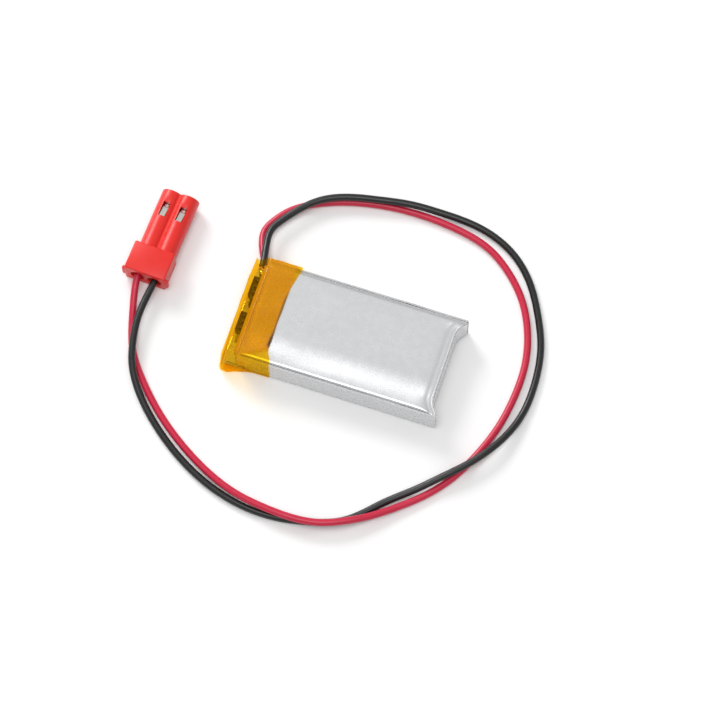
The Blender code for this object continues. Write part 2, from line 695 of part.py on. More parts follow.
def tape_wrap(material):
    """The polyimide tape folded round the board and the end of the cell."""
    cover = TAPE + TAPE_CLEARANCE
    half = CELL_WIDTH / 2 + cover
    bm = bmesh.new()
    stations = [
        (TAPED_END_X + TAPE_REACH, half, TAPE_TOP, TAPE_CORNER),
        (RIDGE_X, half, TAPE_TOP, TAPE_CORNER),
    ]
    for part, flare in TAPE_SECTIONS:
        x = RIDGE_X + (TAPED_END_X - RIDGE_X) * part
        height = TAPE_END_HEIGHT + TAPE_SLOPE * (x - TAPED_END_X)
        stations.append((x, half + TAPE_SIDE_FLARE * flare, height, 2 * TAPE_CORNER))
    rings = [[bm.verts.new(p) for p in tape_section(*station)] for station in stations]
    for first, second in zip(rings, rings[1:]):
        for i in range(len(first)):
            j = (i + 1) % len(first)
            bm.faces.new((first[i], first[j], second[j], second[i]))
    bm.faces.new(rings[-1])
    item = add_object("polyimide_tape", bm, material)
    add_wall(item, TAPE)
    low = RED_LEAD_HEIGHT - LEAD_DIAMETER / 2 - LEAD_EXIT_BELOW
    high = BLACK_LEAD_HEIGHT + LEAD_DIAMETER / 2 + LEAD_EXIT_ABOVE
    exit_cutter = box(
        "lead_exit_cutter",
        (TAPED_END_X + LEAD_EXIT_START, half - LEAD_EXIT_DEPTH, low),
        (BODY_START_X - LEAD_EXIT_END_GAP, half + LEAD_EXIT_REACH, high),
        material,
        bevel=LEAD_EXIT_EDGE,
    )
    add_boolean(item, exit_cutter, "DIFFERENCE")
    return item


def plug_point(x, y, z):
    """A point of the plug, given in the plug's own frame, in the pack's frame."""
    cosine = math.cos(PLUG_TURN)
    sine = math.sin(PLUG_TURN)
    return (PLUG_PLACE[0] + cosine * x - sine * y, PLUG_PLACE[1] + sine * x + cosine * y, z)


def smooth_route(points, spacing):
    """Points at an even spacing on the natural cubic curve through the given points."""
    points = np.array(points, float)
    spans = np.linalg.norm(np.diff(points, axis=0), axis=1)
    places = np.concatenate([[0.0], np.cumsum(spans)])
    count = len(points)
    system = np.eye(count)
    right = np.zeros((count, 3))
    for i in range(1, count - 1):
        system[i, i - 1] = spans[i - 1]
        system[i, i] = 2 * (spans[i - 1] + spans[i])
        system[i, i + 1] = spans[i]
        after = (points[i + 1] - points[i]) / spans[i]
        before = (points[i] - points[i - 1]) / spans[i - 1]
        right[i] = 6 * (after - before)
    bends = np.linalg.solve(system, right)
    at = np.linspace(0.0, places[-1], round(places[-1] / spacing) + 1)
    index = np.clip(np.searchsorted(places, at, side="right") - 1, 0, count - 2)
    span = spans[index][:, None]
    ahead = (places[index + 1] - at)[:, None]
    behind = (at - places[index])[:, None]
    curve = bends[index] * ahead**3 / (6 * span) + bends[index + 1] * behind**3 / (6 * span)
    curve += (points[index] / span - bends[index] * span / 6) * ahead
    curve += (points[index + 1] / span - bends[index + 1] * span / 6) * behind
    curve[:, 2] = np.maximum(curve[:, 2], LEAD_DIAMETER / 2)
    return curve


def round_cord(name, points, diameter, material, resolution=2):
    """A round cord through the given points."""
    curve = bpy.data.curves.new(name, "CURVE")
    curve.dimensions = "3D"
    curve.bevel_depth = diameter / 2
    curve.bevel_resolution = resolution
    curve.use_fill_caps = True
    spline = curve.splines.new("POLY")
    spline.points.add(len(points) - 1)
    for place, point in zip(spline.points, points):
        place.co = (*point, 1.0)
    curve.materials.append(material)
    item = bpy.data.objects.new(name, curve)
    bpy.context.scene.collection.objects.link(item)
    return item


def lead(colour, route, height, pole, finishes):
    """One lead with the bared strands at both its ends."""
    start_x = STRANDS_X - LEAD_DIAMETER / 2 + STRANDS_DIAMETER / 2
    start_y = SOLDER_Y + SOLDER_LENGTH / 2 + STRANDS_AT_BOARD
    start = [(start_x, start_y, height), (start_x, start_y + LEAD_DIAMETER / 3, height)]
    pole_x = pole * POLE_PITCH / 2
    ends = [plug_point(pole_x, y, POLE_HEIGHT) for y in LEAD_POINTS_IN_PLUG]
    middle = [tuple(value * MM for value in point) for point in route]
    points = smooth_route(start + middle + ends, LEAD_POINT_SPACING)
    round_cord(f"{colour}_lead", points, LEAD_DIAMETER, finishes[f"{colour}_insulation"])
    bare_start = [
        (start_x, start_y - STRIP_GAP, height),
        (start_x, start_y - STRIP_GAP - STRANDS_BEND_START, height),
        (STRANDS_X, start_y - STRANDS_BEND_END, height),
        (STRANDS_X, SOLDER_Y - SOLDER_LENGTH / 4 + MESH_GAP, height),
    ]
    round_cord(f"{colour}_strands_board_end", bare_start, STRANDS_DIAMETER, finishes["copper"])
    bare_end = [
        plug_point(pole_x, LEAD_IN_PLUG + MESH_GAP, POLE_HEIGHT),
        plug_point(pole_x, LEAD_IN_PLUG + STRANDS_IN_PLUG, POLE_HEIGHT),
    ]
    round_cord(f"{colour}_strands_plug_end", bare_end, STRANDS_DIAMETER, finishes["copper"])


def contact(name, pole, material):
    """A crimped socket contact: a sheet rolled to a different radius at each place along it."""
    round_lead = LEAD_DIAMETER / 2 + MESH_GAP
    round_strands = STRANDS_DIAMETER / 2 + MESH_GAP
    contact_end = PLUG_LENGTH - MOUTH_WALL - CONTACT_END_GAP
    # Place along the plug, radius of the sheet, and degrees that it wraps round
    stations = [
        (1.4 * MM, round_lead, 300),
        (2.7 * MM, round_lead, 300),
        (2.8 * MM, round_lead + 3 * MESH_GAP, 225),
        (2.9 * MM, round_lead + MESH_GAP, 150),
        (LEAD_IN_PLUG + 0.15 * MM, round_lead + MESH_GAP, 150),
        (LEAD_IN_PLUG + 0.4 * MM, round_strands, 220),
        (LEAD_IN_PLUG + 0.5 * MM, round_strands, 320),
        (5.0 * MM, round_strands, 320),
        (5.1 * MM, round_strands, 220),
        (5.7 * MM, SOCKET_RADIUS, 150),
        (6.1 * MM, SOCKET_RADIUS, 150),
        (6.2 * MM, SOCKET_RADIUS, 335),
        (contact_end, SOCKET_RADIUS, 335),
    ]
    middle_x = pole * POLE_PITCH / 2
    bm = bmesh.new()
    rows = []
    for y, radius, wrap in stations:
        plan = arc((middle_x, POLE_HEIGHT), radius, 90 - wrap / 2, 90 + wrap / 2, CONTACT_STEPS_ACROSS)
        rows.append([bm.verts.new((x, y, z)) for x, z in plan])
    for first, second in zip(rows, rows[1:]):
        for i in range(CONTACT_STEPS_ACROSS):
            bm.faces.new((first[i], first[i + 1], second[i + 1], second[i]))
    item = add_object(name, bm, material)
    add_wall(item, CONTACT_SHEET, outwards=True)
    add_lance(item, name, middle_x, material)
    return item


def add_lance(item, name, middle_x, material):
    """Adds the spring tongue that locks a contact behind the edge of its window."""
    low = POLE_HEIGHT + SOCKET_RADIUS + CONTACT_SHEET / 2
    tip = POLE_HEIGHT + CAVITY_RADIUS + LANCE_RISE
    start = WINDOW_START + LANCE_CLEARANCE
    end = WINDOW_START + WINDOW_LENGTH - LANCE_END_CLEARANCE
    half = WINDOW_WIDTH / 2 - LANCE_SIDE_CLEARANCE
    bm = bmesh.new()
    wedge = [(start, low), (start, tip), (start + CONTACT_SHEET, tip)]
    wedge += [(end, low + CONTACT_SHEET), (end, low)]
    base = bm.faces.new([bm.verts.new((middle_x - half, y, z)) for y, z in wedge])
    made = bmesh.ops.extrude_face_region(bm, geom=[base])["geom"]
    verts = [part for part in made if isinstance(part, bmesh.types.BMVert)]
    bmesh.ops.translate(bm, vec=(2 * half, 0, 0), verts=verts)
    lance = add_object(f"{name}_lance", bm, material)
    lance.parent = bpy.data.objects["plug_frame"]
    add_boolean(item, lance, "UNION")


def housing(material):
    """The moulded plug body: two barrels on a block, with ears at the back."""
    bm = bmesh.new()
    add_box(
        bm,
        (-BLOCK_LEFT, 0.0, 0.0),
        (BLOCK_RIGHT, BLOCK_LENGTH, BLOCK_TOP),
    )
    bmesh.ops.bevel(bm, geom=bm.edges[:], offset=PLUG_EDGE, segments=2, profile=0.5, affect="EDGES")
    body = add_object("connector_housing", bm, material)
    helpers = []
    for pole in (-1, 1):
        x = pole * POLE_PITCH / 2
        barrel = cylinder_along_y(
            f"barrel_{pole}", x, POLE_HEIGHT, BARREL_START, PLUG_LENGTH, BARREL_RADIUS, material, sides=32
        )
        helpers.append((barrel, "UNION"))
    ears = box(
        "ear_plate",
        (-BLOCK_LEFT - EAR_REACH_OUT, EAR_PLATE_START, EAR_PLATE_BOTTOM),
        (BLOCK_RIGHT + EAR_REACH_OUT, EAR_PLATE, EAR_PLATE_TOP),
        material,
        bevel=EAR_PLATE_EDGE,
    )
    helpers.append((ears, "UNION"))
    for pole in (-1, 1):
        x = pole * POLE_PITCH / 2
        cavity_end = PLUG_LENGTH - MOUTH_WALL
        cavity = cylinder_along_y(
            f"cavity_{pole}", x, POLE_HEIGHT, -BARREL_START, cavity_end, CAVITY_RADIUS, material
        )
        mouth_end = PLUG_LENGTH + BARREL_START
        mouth = cylinder_along_y(
            f"mouth_{pole}", x, POLE_HEIGHT, MOUTH_CUT_START, mouth_end, MOUTH_RADIUS, material
        )
        window = box(
            f"window_{pole}",
            (x - WINDOW_WIDTH / 2, WINDOW_START, POLE_HEIGHT),
            (x + WINDOW_WIDTH / 2, WINDOW_START + WINDOW_LENGTH, POLE_HEIGHT + 2 * BARREL_RADIUS),
            material,
        )
        helpers += [(cavity, "DIFFERENCE"), (mouth, "DIFFERENCE"), (window, "DIFFERENCE")]
    for helper, operation in helpers:
        helper.parent = bpy.data.objects["plug_frame"]
        add_boolean(body, helper, operation)
    return body


def plug(finishes):
    """The housing and its two contacts, placed by an empty at the middle of the housing's back."""
    frame = bpy.data.objects.new("plug_frame", None)
    bpy.context.scene.collection.objects.link(frame)
    frame.location = (*PLUG_PLACE, 0.0)
    frame.rotation_euler = (0.0, 0.0, PLUG_TURN)
    pieces = [
        housing(finishes["nylon"]),
        contact("positive_contact", -1, finishes["tinned"]),
        contact("negative_contact", 1, finishes["tinned"]),
    ]
    for piece in pieces:
        piece.parent = frame


def all_finishes():
    """Every material of the pack by a short name."""
    return {
        "pouch": finish_of("aluminium laminate", (0.62, 0.63, 0.64), 0.32, 0.9),
        "cathode": finish_of("coated aluminium foil", (0.03, 0.03, 0.035), 0.7),
        "anode": finish_of("graphite on copper foil", (0.05, 0.045, 0.045), 0.65),
        "separator": finish_of("polyethylene film", (0.85, 0.86, 0.88), 0.5),
        "closing_tape": finish_of("green closing tape", (0.05, 0.35, 0.18), 0.4),
        "aluminium": finish_of("aluminium tab", (0.75, 0.76, 0.78), 0.3, 1.0),
        "nickel": finish_of("nickel strip", (0.62, 0.6, 0.55), 0.3, 1.0),
        "film": finish_of("polypropylene seal film", (0.75, 0.76, 0.7), 0.4),
        "board": finish_of("fibreglass board", (0.02, 0.12, 0.05), 0.4),
        "insulator": finish_of("fish paper", (0.2, 0.3, 0.22), 0.8),
        "chip": finish_of("moulded epoxy", (0.02, 0.02, 0.02), 0.5),
        "capacitor": finish_of("ceramic capacitor", (0.4, 0.27, 0.15), 0.5),
        "solder": finish_of("tin solder", (0.7, 0.7, 0.72), 0.25, 1.0),
        "tape": finish_of("polyimide tape", (0.72, 0.3, 0.02), 0.2),
        "red_insulation": finish_of("red insulation", (0.6, 0.02, 0.08), 0.4),
        "black_insulation": finish_of("black insulation", (0.012, 0.012, 0.012), 0.4),
        "copper": finish_of("tinned copper strands", (0.72, 0.6, 0.5), 0.35, 1.0),
        "nylon": finish_of("red nylon", (0.82, 0.02, 0.015), 0.38),
        "tinned": finish_of("tinned bronze", (0.75, 0.74, 0.7), 0.25, 1.0),
    }


def build_pack():
    """Builds the whole battery pack."""
    clear_scene()
    finishes = all_finishes()
    pouch_drawn_half(finishes["pouch"])
    pouch_flat_half(finishes["pouch"])
    electrode_roll(finishes)
    tab("positive_tab", POSITIVE_TAB_Y, finishes["aluminium"])
    tab("negative_tab", NEGATIVE_TAB_Y, finishes["nickel"])
    tab_seal("positive_tab_seal", POSITIVE_TAB_Y, finishes["film"])
    tab_seal("negative_tab_seal", NEGATIVE_TAB_Y, finishes["film"])
    protection_board(finishes)
    tape_wrap(finishes["tape"])
    lead("red", RED_ROUTE, RED_LEAD_HEIGHT, -1, finishes)
    lead("black", BLACK_ROUTE, BLACK_LEAD_HEIGHT, 1, finishes)
    plug(finishes)


build_pack()
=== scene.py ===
"""The looks of a lithium polymer battery pack with a protection board, two leads and a plug.

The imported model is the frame. X runs along the cell from its taped end to its folded end, Y runs
across it, Z points up, and the surface that the pack lies on is at zero. Lengths are in metres.
"""

import sys

import logging
import math
from collections.abc import Callable, Iterable, Sequence
from dataclasses import dataclass
from enum import Enum

import bmesh
import bpy
import numpy as np
from mathutils import Matrix, Vector, noise


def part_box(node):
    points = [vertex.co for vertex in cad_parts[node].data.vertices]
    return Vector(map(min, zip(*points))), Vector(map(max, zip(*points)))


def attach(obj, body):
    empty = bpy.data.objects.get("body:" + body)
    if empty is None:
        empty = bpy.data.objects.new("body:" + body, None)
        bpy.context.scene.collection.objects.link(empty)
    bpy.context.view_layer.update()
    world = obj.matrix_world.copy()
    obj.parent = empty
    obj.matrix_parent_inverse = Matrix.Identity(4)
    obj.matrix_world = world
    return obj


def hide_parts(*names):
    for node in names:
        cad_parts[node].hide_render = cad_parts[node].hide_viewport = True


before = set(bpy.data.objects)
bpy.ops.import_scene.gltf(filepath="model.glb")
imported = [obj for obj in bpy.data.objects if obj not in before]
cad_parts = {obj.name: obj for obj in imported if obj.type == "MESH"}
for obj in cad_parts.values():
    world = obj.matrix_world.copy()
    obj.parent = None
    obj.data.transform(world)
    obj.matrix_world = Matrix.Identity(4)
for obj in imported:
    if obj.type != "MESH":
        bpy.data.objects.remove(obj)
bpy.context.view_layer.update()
DRAWN_LOW, DRAWN_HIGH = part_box("pouch_drawn_half")
FLAT_LOW, FLAT_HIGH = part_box("pouch_flat_half")
TAPE_LOW, TAPE_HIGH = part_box("polyimide_tape")
BOARD_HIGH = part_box("circuit_board")[1]

MM = 0.001
BODY = "root"
SHARP_ANGLE = math.radians(35)

log = logging.getLogger("battery")

Point = tuple[float, float, float]


class Pattern(Enum):
    """The small pattern that a surface shows."""

    GRAIN = "grain"
    STREAKS = "streaks"
    CLOUDS = "clouds"


def linear(hex_colour: str) -> tuple[float, float, float, float]:
    """Turns an sRGB colour into a linear one.

    Args:
        hex_colour: six hex digits.

    Returns:
        Red, green, blue and an alpha of one.
    """
    parts = [int(hex_colour[i : i + 2], 16) / 255 for i in (0, 2, 4)]
    red, green, blue = (c / 12.92 if c <= 0.04045 else ((c + 0.055) / 1.055) ** 2.4 for c in parts)
    return (red, green, blue, 1.0)


def add_node(
    tree: bpy.types.NodeTree, kind: str, inputs: dict | None = None, **settings: object
) -> bpy.types.Node:
    """Adds a node with its settings and links.

    Args:
        tree: the node tree that gets the node.
        kind: the node's type name.
        inputs: a value or an output socket for each input, by name or place.
        settings: the node's own properties.

    Returns:
        The new node.
    """
    node = tree.nodes.new(kind)
    for key, value in settings.items():
        setattr(node, key, value)
    for key, value in (inputs or {}).items():
        if isinstance(value, bpy.types.NodeSocket):
            tree.links.new(value, node.inputs[key])
        else:
            node.inputs[key].default_value = value
    return node


def mix_colours(
    tree: bpy.types.NodeTree, share: bpy.types.NodeSocket, first: object, second: object
) -> bpy.types.NodeSocket:
    """Mixes two colours, each a value or an output socket, and gives the mix as a socket."""
    inputs = {0: share, 6: first, 7: second}
    return add_node(tree, "ShaderNodeMix", inputs, data_type="RGBA").outputs[2]


def blend_colour(
    tree: bpy.types.NodeTree, shader: bpy.types.Node, share: bpy.types.NodeSocket, hex_colour: str
) -> None:
    """Turns a finish's base colour towards another one.

    Args:
        tree: the material's node tree.
        shader: its main shader, with a linked base colour.
        share: how much of the other colour shows, from 0 to 1.
        hex_colour: the other colour.
    """
    base = shader.inputs["Base Color"]
    blend = mix_colours(tree, share, base.links[0].from_socket, linear(hex_colour))
    tree.links.new(blend, base)


@dataclass(frozen=True)
class Finish:
    """A material and how its surface was made.

    grain is the size of the pattern and relief its depth, both in metres.
    """

    name: str
    colour: str
    second_colour: str
    roughness: float
    metallic: float = 0.0
    ior: float = 1.5
    coat: float = 0.0
    pattern: Pattern = Pattern.GRAIN
    grain: float = 0.3 * MM
    relief: float = 0.004 * MM
    roughness_spread: float = 0.08

    def stretch(self) -> Point:
        """How many times finer the pattern is along X, Y and Z."""
        if self.pattern is Pattern.STREAKS:
            return (0.12, 1.0, 1.0)
        return (1.0, 1.0, 1.0)

    def make(self) -> bpy.types.Material:
        """Builds the material.

        Returns:
            A material whose colour, roughness and bump vary with the pattern.
        """
        material = bpy.data.materials.new(self.name)
        material.use_nodes = True
        tree = material.node_tree
        shader = tree.nodes["Principled BSDF"]
        place = add_node(tree, "ShaderNodeTexCoord")
        mapping = add_node(
            tree, "ShaderNodeMapping", {"Vector": place.outputs["Object"], "Scale": self.stretch()}
        )
        detail = 2.0 if self.pattern is Pattern.CLOUDS else 6.0
        fine = add_node(
            tree,
            "ShaderNodeTexNoise",
            {"Vector": mapping.outputs["Vector"], "Scale": 1 / self.grain, "Detail": detail},
        )
        broad = add_node(
            tree,
            "ShaderNodeTexNoise",
            {"Vector": place.outputs["Object"], "Scale": 1 / (12 * self.grain), "Detail": 2.0},
        )
        colours = linear(self.colour), linear(self.second_colour)
        tone = mix_colours(tree, broad.outputs["Fac"], *colours)
        shine = add_node(
            tree,
            "ShaderNodeMapRange",
            {
                "Value": fine.outputs["Fac"],
                "From Min": 0.3,
                "From Max": 0.7,
                "To Min": max(0.02, self.roughness - self.roughness_spread),
                "To Max": min(1.0, self.roughness + self.roughness_spread),
            },
        )
        bump = add_node(
            tree,
            "ShaderNodeBump",
            {"Height": fine.outputs["Fac"], "Distance": self.relief, "Strength": 1.0},
        )
        tree.links.new(tone, shader.inputs["Base Color"])
        tree.links.new(shine.outputs["Result"], shader.inputs["Roughness"])
        tree.links.new(bump.outputs["Normal"], shader.inputs["Normal"])
        shader.inputs["Metallic"].default_value = self.metallic
        shader.inputs["IOR"].default_value = self.ior
        shader.inputs["Coat Weight"].default_value = self.coat
        self.add_extras(tree, shader)
        return material

    def add_extras(self, tree: bpy.types.NodeTree, shader: bpy.types.Node) -> None:
        """Adds what only one kind of finish has."""


@dataclass(frozen=True)
class FilmFinish(Finish):
    """A see-through film: part of the light goes through it and takes its tint.

    The mesh carries an attribute named layers, from 0 for one layer of film to 1 for many, and
    above 1 along the free edge, where the edge colour paints the shadow of the film's cut edge with
    its thicker glue.
    """

    thin_tint: str = "FFF0A0"
    thick_tint: str = "FFE77A"
    # Painted shadow: the dark brown of the film's cut edge, partly its thicker glue.
    edge_colour: str = "5A2E06"
    thin_solid: float = 0.035
    thick_solid: float = 0.42

    def add_extras(self, tree: bpy.types.NodeTree, shader: bpy.types.Node) -> None:
        """Mixes the solid look of the film with what shows through it."""
        layers = add_node(tree, "ShaderNodeAttribute", attribute_name="layers").outputs["Fac"]
        tint = mix_colours(tree, layers, linear(self.thin_tint), linear(self.thick_tint))
        solid = add_node(
            tree,
            "ShaderNodeMapRange",
            {"Value": layers, "To Min": self.thin_solid, "To Max": self.thick_solid},
            clamp=False,
        )
        over = add_node(
            tree, "ShaderNodeMath", {0: layers, 1: 1.0}, operation="SUBTRACT", use_clamp=True
        )
        # Painted shadow: where layers pass 1, the edge colour darkens the film along its cut edge,
        # partly for its thicker glue.
        blend_colour(tree, shader, over.outputs[0], self.edge_colour)
        through = add_node(tree, "ShaderNodeBsdfTransparent", {"Color": tint})
        mix = add_node(
            tree,
            "ShaderNodeMixShader",
            {0: solid.outputs["Result"], 1: through.outputs["BSDF"], 2: shader.outputs["BSDF"]},
        )
        tree.links.new(mix.outputs["Shader"], tree.nodes["Material Output"].inputs["Surface"])


@dataclass(frozen=True)
class BoardFinish(Finish):
    """A circuit board: masked on its two faces, and bare where its outline was cut."""

    edge_colour: str = "B79A55"

    def add_extras(self, tree: bpy.types.NodeTree, shader: bpy.types.Node) -> None:
        """Shows the bare edge colour on the sides that don't face along X."""
        geometry = add_node(tree, "ShaderNodeNewGeometry")
        facing = add_node(tree, "ShaderNodeSeparateXYZ", {"Vector": geometry.outputs["Normal"]})
        on_face = add_node(
            tree, "ShaderNodeMath", {0: facing.outputs["X"]}, operation="ABSOLUTE", use_clamp=True
        )
        on_edge = add_node(
            tree, "ShaderNodeMath", {0: 1.0, 1: on_face.outputs[0]}, operation="SUBTRACT"
        )
        blend_colour(tree, shader, on_edge.outputs[0], self.edge_colour)


# Rolled aluminium under a clear nylon film: a satin mirror with blurred lights and faint dapples.
LAMINATE = Finish(
    "aluminium laminate, rolled and film-coated", "D9DADB", "D2D3D5", roughness=0.27,
    metallic=0.78, pattern=Pattern.CLOUDS, grain=0.9 * MM, relief=0.0006 * MM,
    roughness_spread=0.02,
)
# Cast polyimide film with glue under it: clear amber, deeper where it lies in many layers, glossy,
# and softly rippled where it was pressed on.
POLYIMIDE = FilmFinish(
    "polyimide film, cast and glued", "F2B60A", "C87C04", roughness=0.18, coat=0.4,
    pattern=Pattern.CLOUDS, grain=0.45 * MM, relief=0.03 * MM,
)
# Injection moulded nylon: an even red with a half-soft gloss and a very fine skin.
RED_NYLON = Finish(
    "nylon, injection moulded, red", "DC2118", "CE1910", roughness=0.36, grain=0.12 * MM,
    relief=0.0025 * MM,
)
# Extruded insulation: a long soft highlight down the lead, broken slightly by its uneven skin.
RED_INSULATION = Finish(
    "wire insulation, extruded, red", "C2163C", "B41134", roughness=0.34, grain=0.35 * MM,
    relief=0.003 * MM,
)
# The same insulation in black: nearly no colour of its own, so only the highlight shows its form.
BLACK_INSULATION = Finish(
    "wire insulation, extruded, black", "0B0C0D", "121415", roughness=0.34, grain=0.35 * MM,
    relief=0.003 * MM,
)
# Stamped and tinned bronze: a bright, slightly warm metal with fine drawn streaks.
TINNED_BRONZE = Finish(
    "phosphor bronze, stamped and tinned", "E4E2DC", "D4D1C8", roughness=0.22, metallic=1.0,
    pattern=Pattern.STREAKS, grain=0.12 * MM, relief=0.002 * MM,
)
# Tinned copper strands: copper colour showing through thin tin, with a grainy sparkle.
COPPER_STRANDS = Finish(
    "copper strands, tinned", "D9C2AE", "C9A88E", roughness=0.3, metallic=1.0, grain=0.1 * MM
)
# Reflowed tin solder: a clear, cool mirror with slow swells, as molten metal leaves it.
SOLDER = Finish(
    "tin solder, reflowed", "D8D9DB", "C8C9CC", roughness=0.2, metallic=1.0, pattern=Pattern.CLOUDS
)
# Rolled aluminium strip: pale and cool, with rolling streaks along it.
ALUMINIUM_TAB = Finish(
    "aluminium strip, rolled", "DCDDDF", "D2D3D6", roughness=0.28, metallic=1.0,
    pattern=Pattern.STREAKS,
)
# Rolled nickel strip: streaked like the aluminium, but darker and warmer beside it.
NICKEL_STRIP = Finish(
    "nickel strip, rolled", "CFCBC2", "C2BDB2", roughness=0.26, metallic=1.0,
    pattern=Pattern.STREAKS,
)
# Heat-sealed polypropylene: milky and slightly cream, with a dull shine.
SEAL_FILM = Finish("polypropylene film, heat sealed", "DEDED2", "D2D2C4", roughness=0.4)
# Solder-masked glass fibre: deep green with a lacquer shine, and matt tan where it was cut.
BOARD_GLASS_FIBRE = BoardFinish(
    "glass fibre board, solder masked", "1F6B3C", "175530", roughness=0.35, coat=0.3, grain=0.4 * MM
)
# Pressed fish paper: a dry grey-green without shine, lightly fibrous.
FISH_PAPER = Finish("fish paper, pressed", "73897A", "697D70", roughness=0.85, relief=0.01 * MM)
# Moulded epoxy of chips and resistors: near black, with the fine tooth of its filler.
EPOXY = Finish("epoxy, transfer moulded", "120C0C", "1A1212", roughness=0.5, grain=0.08 * MM)
# Fired ceramic of the capacitor: a warm tan with an eggshell shine.
CERAMIC = Finish("ceramic, fired", "9C8568", "8C7558", roughness=0.45, grain=0.1 * MM)
# Calendered cathode coating: a cool black, dull and even.
CATHODE_COATING = Finish("cathode coating, calendered", "242427", "1C1C1E", roughness=0.7)
# Calendered graphite: a warmer black with a little more sheen than the cathode.
ANODE_COATING = Finish("graphite coating, calendered", "2D2A29", "242120", roughness=0.62)
# Stretched porous polyethylene: bright white and silky.
SEPARATOR_FILM = Finish("polyethylene film, stretched", "EEEFF2", "E4E6EA", roughness=0.5)
# Green polypropylene tape: a clean colour under a smooth, shiny skin.
CLOSING_TAPE = Finish("polypropylene tape, green", "2F9E72", "288A62", roughness=0.3, coat=0.3)
# Matt paper sweep: off-white, so that soft shadows show on it.
SWEEP = Finish("matt paper sweep", "F0F0F0", "EDEDED", roughness=0.9, grain=2 * MM, relief=0.0)

CAD_FINISHES = [
    (CATHODE_COATING, "cathode_strip"),
    (ANODE_COATING, "anode_strip"),
    (SEPARATOR_FILM, "separator_inner", "separator_outer"),
    (CLOSING_TAPE, "roll_closing_tape"),
    (ALUMINIUM_TAB, "positive_tab"),
    (NICKEL_STRIP, "negative_tab"),
    (SEAL_FILM, "positive_tab_seal", "negative_tab_seal"),
    (BOARD_GLASS_FIBRE, "circuit_board"),
    (FISH_PAPER, "board_insulator"),
    (EPOXY, "protection_chip", "switch_chip"),
    (NICKEL_STRIP, "positive_weld_plate", "negative_weld_plate"),
    (EPOXY, "supply_resistor", "sense_resistor"),
    (CERAMIC, "filter_capacitor"),
    (SOLDER, "positive_solder_joint", "negative_solder_joint"),
    (COPPER_STRANDS, "red_strands_board_end", "black_strands_board_end"),
    (COPPER_STRANDS, "red_strands_plug_end", "black_strands_plug_end"),
    (TINNED_BRONZE, "positive_contact", "negative_contact"),
]


